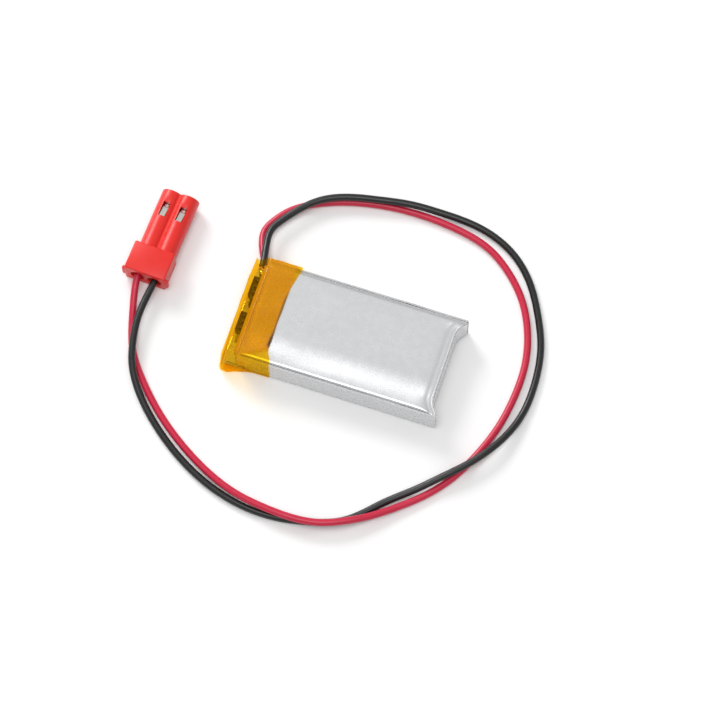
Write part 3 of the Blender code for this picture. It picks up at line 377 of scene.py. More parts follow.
class Bench:
    """The modelling steps that every piece is made with."""

    @staticmethod
    def clear() -> None:
        """Leaves edit mode and deselects everything."""
        if bpy.context.mode != "OBJECT":
            bpy.ops.object.mode_set(mode="OBJECT")
        bpy.ops.object.select_all(action="DESELECT")

    @staticmethod
    def take(item: bpy.types.Object) -> None:
        """Makes one piece the only one selected, and the active one."""
        Bench.clear()
        bpy.context.view_layer.objects.active = item
        item.select_set(True)

    @staticmethod
    def name(title: str) -> bpy.types.Object:
        """Names the object that was just added.

        Args:
            title: the piece's name.

        Returns:
            The object, with its place moved into its mesh.
        """
        item = bpy.context.object
        item.name = title
        item.data.name = title
        bpy.ops.object.transform_apply(location=True, rotation=True, scale=True)
        return item

    @staticmethod
    def box(title: str, low: Point, high: Point) -> bpy.types.Object:
        """Adds a box between two corners."""
        Bench.clear()
        middle = [(a + b) / 2 for a, b in zip(low, high)]
        size = [b - a for a, b in zip(low, high)]
        bpy.ops.mesh.primitive_cube_add(size=1.0, location=middle, scale=size)
        return Bench.name(title)

    @staticmethod
    def rod_along_y(
        title: str, x: float, z: float, start: float, end: float, radius: float, sides: int = 64
    ) -> bpy.types.Object:
        """Adds a cylinder whose axis runs along Y."""
        Bench.clear()
        bpy.ops.mesh.primitive_cylinder_add(
            vertices=sides,
            radius=radius,
            depth=end - start,
            location=(x, (start + end) / 2, z),
            rotation=(math.pi / 2, 0.0, 0.0),
        )
        return Bench.name(title)

    @staticmethod
    def grid(title: str, columns: int, rows: int) -> bpy.types.Object:
        """Adds a flat grid that runs from -1 to 1 along X and Y."""
        Bench.clear()
        bpy.ops.mesh.primitive_grid_add(x_subdivisions=columns, y_subdivisions=rows, size=2.0)
        return Bench.name(title)

    @staticmethod
    def pick_edges(item: bpy.types.Object, rule: Callable[[list[Vector]], bool]) -> int:
        """Selects the open edges whose two ends fit a rule, and nothing else.

        Args:
            item: the piece, which is left in edit mode.
            rule: tells from an edge's two ends whether to take it.

        Returns:
            The number of edges selected.
        """
        bpy.context.view_layer.objects.active = item
        bpy.ops.object.mode_set(mode="EDIT")
        bpy.ops.mesh.select_mode(type="EDGE")
        bpy.ops.mesh.select_all(action="DESELECT")
        bm = bmesh.from_edit_mesh(item.data)
        found = [e for e in bm.edges if e.is_boundary and rule([v.co for v in e.verts])]
        for edge in found:
            edge.select_set(True)
        bmesh.update_edit_mesh(item.data)
        return len(found)

    @staticmethod
    def extrude(move: Point, steps: int = 1) -> None:
        """Extrudes what is selected in even steps along a line."""
        part = tuple(value / steps for value in move)
        for _ in range(steps):
            bpy.ops.mesh.extrude_region_move(TRANSFORM_OT_translate={"value": part})

    @staticmethod
    def done() -> None:
        """Goes back to object mode."""
        bpy.ops.object.mode_set(mode="OBJECT")

    @staticmethod
    def reshape(item: bpy.types.Object, move: Callable[[Vector], Iterable[float]]) -> None:
        """Moves every vertex to where a function sends it."""
        for vertex in item.data.vertices:
            vertex.co = Vector(move(vertex.co.copy()))

    @staticmethod
    def apply(item: bpy.types.Object, kind: str, **settings: object) -> None:
        """Adds a modifier with its settings and applies it."""
        Bench.take(item)
        modifier = item.modifiers.new(kind, kind)
        for key, value in settings.items():
            setattr(modifier, key, value)
        bpy.ops.object.modifier_apply(modifier=modifier.name)

    @staticmethod
    def combine(item: bpy.types.Object, other: bpy.types.Object, operation: str) -> None:
        """Joins another piece to this one or cuts it away, and removes the other."""
        Bench.apply(item, "BOOLEAN", operation=operation, object=other, solver="EXACT")
        bpy.data.objects.remove(other, do_unlink=True)

    @staticmethod
    def round_edges(item: bpy.types.Object, width: float, segments: int = 3) -> None:
        """Rounds the sharp edges of a piece."""
        Bench.apply(
            item, "BEVEL", width=width, segments=segments, limit_method="ANGLE", angle_limit=0.6
        )

    @staticmethod
    def smooth(item: bpy.types.Object) -> None:
        """Shades the piece smooth, with hard lines only at its sharp angles."""
        Bench.take(item)
        bpy.ops.object.shade_smooth_by_angle(angle=SHARP_ANGLE)

    @staticmethod
    def face_out(item: bpy.types.Object) -> None:
        """Merges doubles and turns the faces of a closed piece outwards."""
        Bench.take(item)
        bpy.ops.object.mode_set(mode="EDIT")
        bpy.ops.mesh.select_all(action="SELECT")
        bpy.ops.mesh.remove_doubles(threshold=1e-6)
        bpy.ops.mesh.normals_make_consistent(inside=False)
        Bench.done()


def put_on(item: bpy.types.Object, finish: Finish, slot: str, *replaced: str) -> bpy.types.Object:
    """Dresses a finished piece and ties it to the frame.

    Args:
        item: the finished piece.
        finish: what it is made of.
        slot: not used.
        replaced: the CAD nodes that it stands for.

    Returns:
        The same piece.
    """
    item.data.materials.clear()
    item.data.materials.append(finish.make())
    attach(item, BODY)
    if replaced:
        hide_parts(*replaced)
    if item.type == "MESH":
        log.info("made %s with %d faces", item.name, len(item.data.polygons))
    return item


def smoothstep(low: float, high: float, value: float) -> float:
    """Rises softly from zero at low to one at high."""
    part = min(1.0, max(0.0, (value - low) / (high - low)))
    return part * part * (3 - 2 * part)


def bell(value: float, middle: float, width: float) -> float:
    """Rises softly to one at the middle and falls to zero beyond a few widths."""
    return math.exp(-(((value - middle) / width) ** 2))


def wave(place: Sequence[float], size: float, seed: float = 0.0) -> float:
    """A smooth random value from about -1 to 1 that changes over the given size."""
    return noise.noise(Vector([value / size for value in place]) + Vector((seed, 2 * seed, -seed)))


@dataclass
class Pouch:
    """The aluminium laminate pouch: a drawn half with the cell in it, and a flat half under it."""

    terrace: float = 2.1 * MM
    ear_length: float = 1.05 * MM
    ear_reach: float = 2.1 * MM
    ear_flat: float = 0.3 * MM
    sheet: float = 0.115 * MM
    seal_allowance: float = 0.185 * MM
    fold_gap: float = 0.035 * MM
    tuck: float = 0.04 * MM
    body_start: float = DRAWN_LOW.x + terrace
    ear_tip: float = DRAWN_HIGH.x
    body_end: float = ear_tip - ear_length
    half_width: float = DRAWN_HIGH.y - seal_allowance
    outer_half_width: float = FLAT_HIGH.y - tuck
    top: float = DRAWN_HIGH.z
    bottom: float = FLAT_LOW.z
    fold_top: float = FLAT_HIGH.z
    terrace_top: float = 0.61 * MM
    wall_levels: tuple[float, float] = (3.2 * MM, 1.9 * MM)
    near_radius: float = 0.45 * MM
    far_radius: float = 0.3 * MM
    start_reach: float = 0.6 * MM
    start_drop: float = 0.5 * MM
    end_reach: float = 2.9 * MM
    end_drop: float = 0.5 * MM
    crease_place: float = 0.95 * MM
    crease_width: float = 0.28 * MM
    crease_depth: float = 0.1 * MM
    bead_place: float = 0.14 * MM
    bead_width: float = 0.12 * MM
    bead_height: float = 0.09 * MM
    wave_height: float = 0.035 * MM
    near_crown: float = 0.34 * MM
    near_crown_reach: float = 4.6 * MM
    far_crown: float = 0.3 * MM
    lean_reach: float = 0.045 * MM
    columns: int = 110
    rows: int = 64

    def end_at(self, y: float, half: float) -> float:
        """Where the folded end lies at a place across the cell.

        Args:
            y: the place across the cell.
            half: half the width of the sheet there.

        Returns:
            The end's X, further out at the two ears.
        """
        start = half - self.ear_flat - self.ear_reach
        into_ear = min(1.0, max(0.0, abs(y) - start) / self.ear_reach)
        return self.body_end + (self.ear_tip - self.body_end) * into_ear**2

    def height_at(self, x: float, y: float) -> float:
        """The height of the drawn face.

        Args:
            x: the place along the cell.
            y: the place across it.

        Returns:
            The height, with the rounded edges, the press marks and the soft waves of a real pouch.
        """
        radius = self.near_radius if y < 0 else self.far_radius
        side = max(0.0, abs(y) - (self.half_width - radius)) / radius
        drop = radius * (1 - math.sqrt(max(0.0, 1 - min(1.0, side) ** 2)))
        to_end = max(0.0, self.end_at(y, self.half_width) - x)
        near_end = max(0.0, 1 - to_end / self.end_reach)
        drop = max(drop, self.end_drop * near_end**2.4)
        to_start = max(0.0, x - self.body_start)
        near_start = max(0.0, 1 - to_start / self.start_reach)
        drop = max(drop, self.start_drop * near_start**2)
        crease = self.crease_depth * bell(to_end, self.crease_place, self.crease_width)
        crease *= 0.6 + 0.4 * wave((0.0, y, 0.0), 3 * MM, 4.0)
        calm = 1 - smoothstep(self.half_width - 2 * MM, self.half_width, abs(y))
        waves = self.wave_height * wave((x, y, 0.0), 7 * MM, 1.0) * calm
        near_side = smoothstep(self.half_width - self.near_crown_reach, self.half_width, -y)
        far_side = smoothstep(self.half_width - 0.8 * MM, self.half_width - 0.1 * MM, y)
        crown = self.near_crown * near_side
        crown += self.far_crown * far_side
        bead = self.bead_height * bell(to_end, self.bead_place, self.bead_width)
        return self.top - drop - crease + waves - crown + bead

    def lean(self, x: float, z: float) -> float:
        """How far a folded side seal leans out of true, more towards its free edge."""
        rise = smoothstep(self.terrace_top, self.fold_top, z)
        return self.lean_reach * rise * wave((x, 0.0, z), 5 * MM, 9.0)

    def lean_seals(self, item: bpy.types.Object, beyond: float) -> None:
        """Leans what lies beyond a distance from the middle out of true."""

        def lean_out(co: Vector) -> Point:
            """Sends a point of a side seal to its leaning place."""
            if abs(co.y) < beyond:
                return (co.x, co.y, co.z)
            return (co.x, co.y + self.lean(co.x, co.z), co.z)

        Bench.reshape(item, lean_out)

    def drawn_half(self) -> bpy.types.Object:
        """Builds the drawn half: face, walls, terrace and inner side seals.

        Returns:
            The finished piece.
        """
        item = Bench.grid("pouch_drawn_body", self.columns, self.rows)

        def face(co: Vector) -> Point:
            """Sends a grid point to the drawn face, with closer rows at its edges."""
            y = self.half_width * math.sin(co.y * math.pi / 2)
            length = self.end_at(y, self.half_width) - self.body_start
            x = self.body_start + length * math.sin((co.x + 1) / 2 * math.pi / 2)
            return (x, y, self.height_at(x, y))

        Bench.reshape(item, face)
        Bench.pick_edges(item, lambda ends: True)
        for level in (*self.wall_levels, self.terrace_top):
            Bench.extrude((0.0, 0.0, -self.sheet))
            bm = bmesh.from_edit_mesh(item.data)
            for vertex in bm.verts:
                if vertex.select:
                    vertex.co.z = level
            bmesh.update_edit_mesh(item.data)
        tiny = 0.01 * MM
        rim = self.terrace_top + tiny
        for side in (-1, 1):

            def along_side(ends: list[Vector], side: int = side) -> bool:
                """Tells whether an edge is at the foot of this side's wall."""
                return all(e.y * side > self.half_width - tiny and e.z < rim for e in ends)

            Bench.pick_edges(item, along_side)
            Bench.extrude((0.0, side * self.fold_gap, 0.0))
            Bench.extrude((0.0, 0.0, self.fold_top - self.terrace_top), steps=10)
        Bench.pick_edges(
            item, lambda ends: all(e.x < self.body_start + tiny and e.z < rim for e in ends)
        )
        Bench.extrude((-self.terrace, 0.0, 0.0), steps=4)
        inner = self.half_width - self.ear_flat / 2
        Bench.pick_edges(
            item,
            lambda ends: all(
                e.x > self.body_end - tiny and abs(e.y) < inner and e.z < rim for e in ends
            ),
        )
        Bench.extrude((0.0, 0.0, self.bottom + self.sheet + tiny - self.terrace_top))
        Bench.done()
        self.lean_seals(item, self.half_width + self.fold_gap / 2)
        Bench.apply(item, "SOLIDIFY", thickness=self.sheet, offset=-1.0, use_even_offset=True)
        Bench.smooth(item)
        return put_on(item, LAMINATE, "pouch", "pouch_drawn_half")

    def flat_half(self) -> bpy.types.Object:
        """Builds the flat half: the sheet under the cell and the outer side seals.

        Returns:
            The finished piece.
        """
        item = Bench.grid("pouch_flat_sheet", self.columns, 24)
        start = self.body_start - self.terrace
        fold_start = self.body_start + 0.8 * MM

        def face(co: Vector) -> Point:
            """Sends a grid point to the flat sheet."""
            y = self.outer_half_width * co.y
            length = self.end_at(y, self.outer_half_width) - start
            return (start + length * (co.x + 1) / 2, y, self.bottom)

        Bench.reshape(item, face)
        tiny = 0.01 * MM
        for side in (-1, 1):

            def along_side(ends: list[Vector], side: int = side) -> bool:
                """Tells whether an edge is on this side of the sheet, beside the body."""
                outside = self.outer_half_width - tiny
                return all(e.y * side > outside and e.x > fold_start for e in ends)

            Bench.pick_edges(item, along_side)
            Bench.extrude((0.0, 0.0, self.fold_top - self.bottom), steps=12)
        bpy.ops.mesh.select_all(action="SELECT")
        bpy.ops.mesh.flip_normals()
        Bench.done()
        self.lean_seals(item, self.outer_half_width - tiny)
        Bench.apply(item, "SOLIDIFY", thickness=self.sheet, offset=-1.0, use_even_offset=True)
        Bench.smooth(item)
        return put_on(item, LAMINATE, "pouch", "pouch_flat_half")


@dataclass
class TapeWrap:
    """The polyimide tape that is wound round the board and pinched shut beyond it."""

    edge_x: float = TAPE_HIGH.x - 0.05 * MM
    ridge_x: float = BOARD_HIGH.x + 0.04 * MM
    tip_x: float = TAPE_LOW.x
    top: float = TAPE_HIGH.z
    half_width: float = FLAT_HIGH.y + 0.12 * MM
    flare: float = 0.45 * MM
    ridge_drop: float = 2.6 * MM
    rise_over_leads: float = 1.3 * MM
    end_lift: float = 0.35 * MM
    near_bulge: float = 0.3 * MM
    foot_bulge: float = 0.35 * MM
    far_trim: float = 0.4 * MM
    edge_back: float = 0.2 * MM
    far_tab: float = 0.62 * MM
    near_tab: float = 0.75 * MM
    far_cut: float = 0.28 * MM
    near_cut: float = 0.3 * MM
    film: float = 0.06 * MM
    corner: float = 0.2 * MM
    exit_low: Point = (-15.6 * MM, 7.2 * MM, 0.8 * MM)
    exit_high: Point = (-13.75 * MM, 9.6 * MM, 4.6 * MM)
    around: int = 260
    stations: int = 54

    def outline(self, part: float, half: float, low: float, high: float, radius: float) -> Vector:
        """A point on a rounded rectangle across the pack.

        Args:
            part: how far round, from 0 to 1, starting at the middle of the top.
            half: half its width.
            low: its lowest height.
            high: its highest height.
            radius: the radius of its corners.

        Returns:
            The point's Y and Z as a vector with no X.
        """
        middle = (low + high) / 2
        radius = min(radius, (high - low) / 2 * 0.98)
        wide = half - radius
        tall = (high - low) / 2 - radius
        arc = math.pi / 2 * radius
        legs = [wide, arc, 2 * tall, arc, 2 * wide, arc, 2 * tall, arc, wide]
        left = (part % 1.0) * sum(legs)
        leg = 0
        while leg < 8 and left > legs[leg]:
            left -= legs[leg]
            leg += 1
        if leg == 0:
            return Vector((0.0, left, high))
        if leg == 2:
            return Vector((0.0, half, middle + tall - left))
        if leg == 4:
            return Vector((0.0, wide - left, low))
        if leg == 6:
            return Vector((0.0, -half, middle - tall + left))
        if leg == 8:
            return Vector((0.0, -wide + left, high))
        turn = left / radius
        centres = {1: (1, 1, 0.5), 3: (1, -1, 0.0), 5: (-1, -1, -0.5), 7: (-1, 1, -1.0)}
        side_y, side_z, quarter = centres[leg]
        angle = quarter * math.pi - turn
        return Vector(
            (
                0.0,
                side_y * wide + radius * math.cos(angle),
                middle + side_z * tall + radius * math.sin(angle),
            )
        )

    def tip_at(self, y: float) -> float:
        """Where the pinched end lies at a place across the pack, cut back at the far corner."""
        cut = self.far_cut * smoothstep(2.4 * MM, 7.6 * MM, y)
        near = self.near_cut * smoothstep(6.6 * MM, 8.6 * MM, -y)
        return self.tip_x + cut + near + 0.08 * MM * wave((0.0, y, 0.0), 3 * MM, 3.0)

    def edge_at(self, y: float) -> float:
        """Where the free edge on the cell lies at a place across it, further on at both corners."""
        far = self.far_tab * smoothstep(3.6 * MM, 7.4 * MM, y)
        near = self.near_tab * smoothstep(5.2 * MM, 7.2 * MM, -y)
        return self.edge_x - self.edge_back + far + near

    def layers_at(self, co: Vector) -> float:
        """How many layers of film lie on each other at a place.

        Args:
            co: a point on the film.

        Returns:
            A value from 0 for one layer to 1 for many, with a dark line at the free edge: a painted
            shadow of the cut edge, with its thicker glue.
        """
        behind = self.edge_at(co.y) - co.x
        past = smoothstep(self.ridge_x + 0.1 * MM, self.ridge_x - 0.35 * MM, co.x)
        far_corner = smoothstep(4.8 * MM, 6.6 * MM, co.y) * (1 - smoothstep(0.3 * MM, MM, behind))
        near_start = 5.0 * MM + 0.45 * max(0.0, behind)
        near_side = smoothstep(near_start, near_start + 0.7 * MM, -co.y)
        near_wall = smoothstep(7.2 * MM, 7.6 * MM, -co.y)
        thin = max(0.95 * past, far_corner, near_side, 0.9 * near_wall)
        many = 0.62 + 0.3 * wave((co.x, co.y, 0.0), 4 * MM, 8.0)
        at_edge = 1 - smoothstep(0.4 * MM, 2 * MM, behind)
        many += 0.35 * smoothstep(1.5 * MM, 4.5 * MM, -co.y) * at_edge
        # Painted shadow: a dark line just behind the free edge, for the shade at the cut edge and
        # its thicker glue.
        edge_shadow_line = smoothstep(0.55 * MM, 0.15 * MM, behind)
        middle = smoothstep(-5.6 * MM, -4.6 * MM, co.y)
        middle *= 1 - smoothstep(2.0 * MM, 5.0 * MM, co.y)
        return min(1.0, max(0.0, many * (1 - thin))) + 1.1 * edge_shadow_line * middle

    def place(self, along: float, part: float) -> Point:
        """The shape of the wrap.

        Args:
            along: 0 at the free edge on the cell and 1 at the pinched tip.
            part: how far round, from 0 to 1.

        Returns:
            A point on the outside of the film.
        """
        flat = (self.edge_x - self.ridge_x) / (self.edge_x - self.tip_x)
        past = max(0.0, (along - flat) / (1 - flat))
        over_leads = smoothstep(0.09, 0.13, part) * (1 - smoothstep(0.22, 0.3, part))
        high = self.top - (self.ridge_drop - self.rise_over_leads * over_leads) * past**1.1
        low = self.end_lift * past**8
        half = self.half_width + self.flare * smoothstep(0.0, 0.6, past)
        radius = self.corner + 0.35 * MM * past
        point = self.outline(part, half, low, high, radius)
        near = smoothstep(6.2 * MM, 7.8 * MM, -point.y)
        foot = 1 - smoothstep(0.4 * MM, 3.6 * MM, point.z)
        bulge = self.near_bulge + self.foot_bulge * foot
        point.y -= bulge * near * smoothstep(0.25, 0.75, along)
        point.y -= self.far_trim * smoothstep(7.2 * MM, 8.0 * MM, point.y) * past
        edge = self.edge_at(point.y) + 0.06 * MM * wave((0.0, point.y, point.z), 2.5 * MM, 6.0)
        x = edge + (self.ridge_x - edge) * min(1.0, along / flat)
        x += (self.tip_at(point.y) - self.ridge_x) * past
        return self.crumple(Vector((x, point.y, point.z)), along, past)

    def crumple(self, co: Vector, along: float, past: float) -> Point:
        """Adds the creases and ripples of hand-wrapped film.

        Args:
            co: a point on the smooth wrap.
            along: how far the point is from the free edge.
            past: how far it is beyond the ridge.

        Returns:
            The point on the creased film.
        """
        beside = smoothstep(self.half_width - 0.8 * MM, self.half_width, abs(co.y))
        strength = 0.02 + 0.1 * past + 0.09 * beside * smoothstep(0.05, 0.4, along)
        fold = abs(wave((co.x * 1.6, co.y * 0.8, co.z * 2.2), 1.6 * MM, 11.0))
        ripple = wave((co.x, co.y, co.z), 2.8 * MM, 5.0)
        out = Vector((0.0, co.y / self.half_width * beside, 1.0 - beside)).normalized()
        if co.z < self.top / 2 and beside < 0.5:
            return tuple(co)
        move = out * strength * MM * (0.9 * ripple - 1.1 * fold + 0.35)
        moved = co + move
        moved.z = max(0.0, moved.z)
        return (moved.x, moved.y, moved.z)

    def open_exit(self, item: bpy.types.Object) -> None:
        """Takes away the film where the leads come out.

        Args:
            item: the wrap, still one sheet.
        """
        low = Vector(self.exit_low)
        high = Vector(self.exit_high)
        bpy.ops.object.mode_set(mode="EDIT")
        bpy.ops.mesh.select_mode(type="FACE")
        bpy.ops.mesh.select_all(action="DESELECT")
        bm = bmesh.from_edit_mesh(item.data)
        for face in bm.faces:
            middle = face.calc_center_median()
            face.select_set(all(a < b < c for a, b, c in zip(low, middle, high)))
        bmesh.update_edit_mesh(item.data)
        bpy.ops.mesh.delete(type="FACE")
        Bench.done()

    def build(self) -> bpy.types.Object:
        """Builds the wrap from a ring that is drawn out station by station.

        Returns:
            The finished piece.
        """
        Bench.clear()
        bpy.ops.mesh.primitive_cylinder_add(
            vertices=self.around,
            radius=1.0,
            depth=1.0,
            end_fill_type="NOTHING",
            location=(0.5, 0.0, 0.0),
            rotation=(0.0, math.pi / 2, 0.0),
        )
        item = Bench.name("polyimide_wrap")
        Bench.pick_edges(item, lambda ends: all(e.x > 0.5 for e in ends))
        Bench.extrude((self.stations - 1.0, 0.0, 0.0), steps=self.stations - 1)
        bpy.ops.mesh.edge_face_add()
        bpy.ops.mesh.inset(thickness=0.4)
        bpy.ops.mesh.merge(type="CENTER")
        Bench.done()

        def wrap(co: Vector) -> Point:
            """Sends a point of the drawn-out ring to the wrap."""
            along = min(1.0, co.x / self.stations)
            if math.hypot(co.y, co.z) < 0.1:
                middle = self.place(1.0, 0.0)
                return (middle[0], 0.0, middle[2] - 0.15 * MM)
            part = math.atan2(co.y, co.z) / (2 * math.pi)
            return self.place(along, part)

        Bench.reshape(item, wrap)
        Bench.face_out(item)
        self.open_exit(item)
        Bench.apply(item, "SOLIDIFY", thickness=self.film, offset=-1.0)
        layers = item.data.attributes.new("layers", "FLOAT", "POINT")
        for value, vertex in zip(layers.data, item.data.vertices):
            value.value = self.layers_at(vertex.co)
        Bench.smooth(item)
        return put_on(item, POLYIMIDE, "tape", "polyimide_tape")


@dataclass
class Plug:
    """The two-pole plug: a block with two barrels, two windows and thin ears at the back."""

    back_x: float = -29.1 * MM
    back_y: float = 0.3 * MM
    turn: float = math.radians(-2.4)
    length: float = 13.2 * MM
    pole: float = 1.25 * MM
    barrel: float = 1.5 * MM
    height: float = 1.85 * MM
    block_length: float = 4.3 * MM
    block_left: float = 3.15 * MM
    block_right: float = 2.8 * MM
    block_top: float = 3.7 * MM
    cavity: float = 1.02 * MM
    mouth: float = 0.7 * MM
    mouth_wall: float = 0.8 * MM
    window_start: float = 9.1 * MM
    window_length: float = 2.2 * MM
    window_width: float = 1.0 * MM
    barrel_start: float = 1.0 * MM
    mouth_start: float = 8.0 * MM
    web_half: float = 1.05 * MM
    web_inset: float = 0.02 * MM
    ear_reach: float = 0.45 * MM
    ear_start: float = 0.05 * MM
    ear_end: float = 0.55 * MM
    ear_low: float = 0.9 * MM
    ear_high: float = 2.8 * MM
    block_round: float = 0.2 * MM
    ear_round: float = 0.13 * MM
    edge_round: float = 0.07 * MM

    def to_pack(self) -> Matrix:
        """The move from the plug's own frame to the pack's."""
        place = Matrix.Translation((self.back_x, self.back_y, 0.0))
        return place @ Matrix.Rotation(self.turn, 4, "Z")

    def point(self, x: float, y: float, z: float) -> Point:
        """A point given in the plug's own frame, in the pack's."""
        return tuple(self.to_pack() @ Vector((x, y, z)))

    def set_down(self, item: bpy.types.Object) -> None:
        """Moves a finished mesh from the plug's frame to the pack's."""
        item.data.transform(self.to_pack())

    def housing(self) -> bpy.types.Object:
        """Builds the moulded housing.

        Returns:
            The finished piece.
        """
        body = Bench.box(
            "plug_housing",
            (-self.block_left, 0.0, 0.0),
            (self.block_right, self.block_length, self.block_top),
        )
        Bench.round_edges(body, self.block_round)
        for side in (-1, 1):
            x = side * self.pole
            barrel = Bench.rod_along_y(
                "barrel", x, self.height, self.barrel_start, self.length, self.barrel
            )
            Bench.combine(body, barrel, "UNION")
        web = Bench.box(
            "web",
            (-self.pole, self.barrel_start, self.height - self.web_half),
            (self.pole, self.length - self.web_inset, self.height + self.web_half),
        )
        Bench.combine(body, web, "UNION")
        ears = Bench.box(
            "ears",
            (-self.block_left - self.ear_reach, self.ear_start, self.ear_low),
            (self.block_right + self.ear_reach, self.ear_end, self.ear_high),
        )
        Bench.round_edges(ears, self.ear_round)
        Bench.combine(body, ears, "UNION")
        for side in (-1, 1):
            x = side * self.pole
            cavity_end = self.length - self.mouth_wall
            cavity = Bench.rod_along_y("cavity", x, self.height, -1 * MM, cavity_end, self.cavity)
            Bench.combine(body, cavity, "DIFFERENCE")
            mouth = Bench.rod_along_y(
                "mouth", x, self.height, self.mouth_start, self.length + MM, self.mouth
            )
            Bench.combine(body, mouth, "DIFFERENCE")
            half = self.window_width / 2
            window = Bench.box(
                "window",
                (x - half, self.window_start, self.height),
                (x + half, self.window_start + self.window_length, self.height + 2 * self.barrel),
            )
            Bench.combine(body, window, "DIFFERENCE")
        Bench.round_edges(body, self.edge_round, segments=2)
        Bench.smooth(body)
        self.set_down(body)
        return put_on(body, RED_NYLON, "nylon", "connector_housing")


def smooth_route(points: Sequence[Point], spacing: float) -> list[Point]:
    """Reads evenly spaced points from the natural cubic curve through a route.

    Args:
        points: the route's own points.
        spacing: the distance between the points that it returns.

    Returns:
        The points, in order.
    """
    route = np.array(points, float)
    spans = np.linalg.norm(np.diff(route, axis=0), axis=1)
    places = np.concatenate([[0.0], np.cumsum(spans)])
    count = len(route)
    system = np.eye(count)
    right = np.zeros((count, 3))
    for i in range(1, count - 1):
        system[i, i - 1] = spans[i - 1]
        system[i, i] = 2 * (spans[i - 1] + spans[i])
        system[i, i + 1] = spans[i]
        after = (route[i + 1] - route[i]) / spans[i]
        right[i] = 6 * (after - (route[i] - route[i - 1]) / spans[i - 1])
    bends = np.linalg.solve(system, right)
    at = np.linspace(0.0, places[-1], round(places[-1] / spacing) + 1)
    index = np.clip(np.searchsorted(places, at, side="right") - 1, 0, count - 2)
    span = spans[index][:, None]
    ahead = (places[index + 1] - at)[:, None]
    behind = (at - places[index])[:, None]
    curve = bends[index] * ahead**3 / (6 * span) + bends[index + 1] * behind**3 / (6 * span)
    curve += (route[index] / span - bends[index] * span / 6) * ahead
    curve += (route[index + 1] / span - bends[index + 1] * span / 6) * behind
    return [tuple(float(v) for v in point) for point in curve]


@dataclass
class Lead:
    """One lead, from its solder joint to its contact."""

    colour: str
    route: Sequence[Point]
    start_height: float
    pole_side: int
    length: float
    finish: Finish
    diameter: float = 1.0 * MM
    spacing: float = 0.4 * MM
    joint_x: float = -14.23 * MM
    joint_ys: tuple[float, float] = (6.75 * MM, 7.083 * MM)
    places_in_plug: tuple[float, float, float] = (0.2 * MM, 1.7 * MM, 3.3 * MM)

    def build(self, plug: Plug, pieces: Sequence[str]) -> bpy.types.Object:
        """Args:
            plug: the plug that the lead ends in.
            pieces: the names of the pieces on the lead; not used.

        Returns:
            The finished piece.
        """
        start = [(self.joint_x, y, self.start_height) for y in self.joint_ys]
        x = self.pole_side * plug.pole
        ends = [plug.point(x, y, plug.height) for y in self.places_in_plug]
        middle = [tuple(value * MM for value in point) for point in self.route]
        points = smooth_route(start + middle + ends, self.spacing)
        floor = self.diameter / 2
        points = [(x, y, max(z, floor)) for x, y, z in points]
        Bench.clear()
        curve = bpy.data.curves.new(f"{self.colour}_wire", "CURVE")
        curve.dimensions = "3D"
        curve.bevel_depth = self.diameter / 2
        curve.bevel_resolution = 6
        curve.use_fill_caps = True
        spline = curve.splines.new("POLY")
        spline.points.add(len(points) - 1)
        for spot, point in zip(spline.points, points):
            spot.co = (*point, 1.0)
        spline.use_smooth = True
        item = bpy.data.objects.new(f"{self.colour}_wire", curve)
        bpy.context.scene.collection.objects.link(item)
        spans = np.linalg.norm(np.diff(np.array(points), axis=0), axis=1)
        log.info("%s lead is %.1f mm long", self.colour, spans.sum() / MM)
        put_on(item, self.finish, f"{self.colour}_insulation", f"{self.colour}_lead")
        return item


# Routes of the leads, each from the board to the plug: points given in millimetres
RED_ROUTE = [
    (-14.4, 8.0, 1.4), (-15.1, 9.5, 1.15), (-15.8, 11.25, 0.8), (-16.0, 13.0, 0.5),
    (-15.25, 14.75, 0.5), (-13.75, 16.75, 0.5), (-10.5, 19.0, 0.5), (-6.0, 20.75, 0.5),
    (-1.0, 21.75, 0.5), (4.0, 22.0, 0.5), (9.5, 21.5, 0.5), (14.75, 20.0, 0.5),
    (18.0, 17.75, 0.5), (21.0, 14.5, 0.5), (23.25, 10.25, 0.5), (24.5, 5.25, 0.5),
    (24.5, 0.0, 0.5), (23.75, -4.75, 0.5), (22.25, -9.25, 0.5), (20.0, -13.75, 0.5),
    (17.0, -17.5, 0.5), (14.0, -20.25, 0.7), (11.25, -22.5, 1.1), (8.5, -24.25, 1.5),
    (5.0, -25.75, 1.65), (1.0, -26.25, 1.65), (-3.0, -26.0, 1.55), (-7.0, -25.25, 1.2),
    (-11.0, -23.75, 0.75), (-16.0, -21.0, 0.5), (-20.75, -17.5, 0.5), (-24.75, -13.5, 0.5),
    (-27.5, -9.75, 0.5), (-29.1, -5.5, 0.6), (-30.0, -2.0, 1.3),
]
BLACK_ROUTE = [
    (-14.4, 8.25, 2.65), (-14.85, 10.5, 2.25), (-14.9, 13.0, 1.8), (-14.0, 14.75, 1.65),
    (-12.75, 16.5, 1.6), (-10.0, 19.25, 1.6), (-6.25, 21.0, 1.6), (-2.0, 22.0, 1.5),
    (2.25, 22.75, 1.35), (6.25, 23.0, 1.0), (10.5, 23.0, 0.55), (14.25, 22.25, 0.5),
    (18.25, 20.25, 0.5), (21.5, 17.0, 0.5), (24.0, 12.75, 0.5), (25.75, 8.5, 0.5),
    (26.6, 3.0, 0.5), (26.4, -1.5, 0.6), (25.4, -5.25, 1.1), (23.75, -8.5, 1.55),
    (21.5, -11.5, 1.65), (18.75, -14.25, 1.45), (15.75, -17.0, 0.9), (12.5, -19.75, 0.5),
    (8.0, -24.0, 0.5), (3.5, -25.75, 0.5), (-2.0, -26.6, 0.5), (-8.0, -26.0, 0.5),
    (-14.0, -23.75, 0.5), (-20.4, -19.5, 0.5), (-24.6, -15.4, 1.0), (-26.75, -12.0, 1.5),
    (-27.75, -8.75, 1.6), (-28.25, -5.0, 1.65), (-28.15, -2.5, 1.7),
]


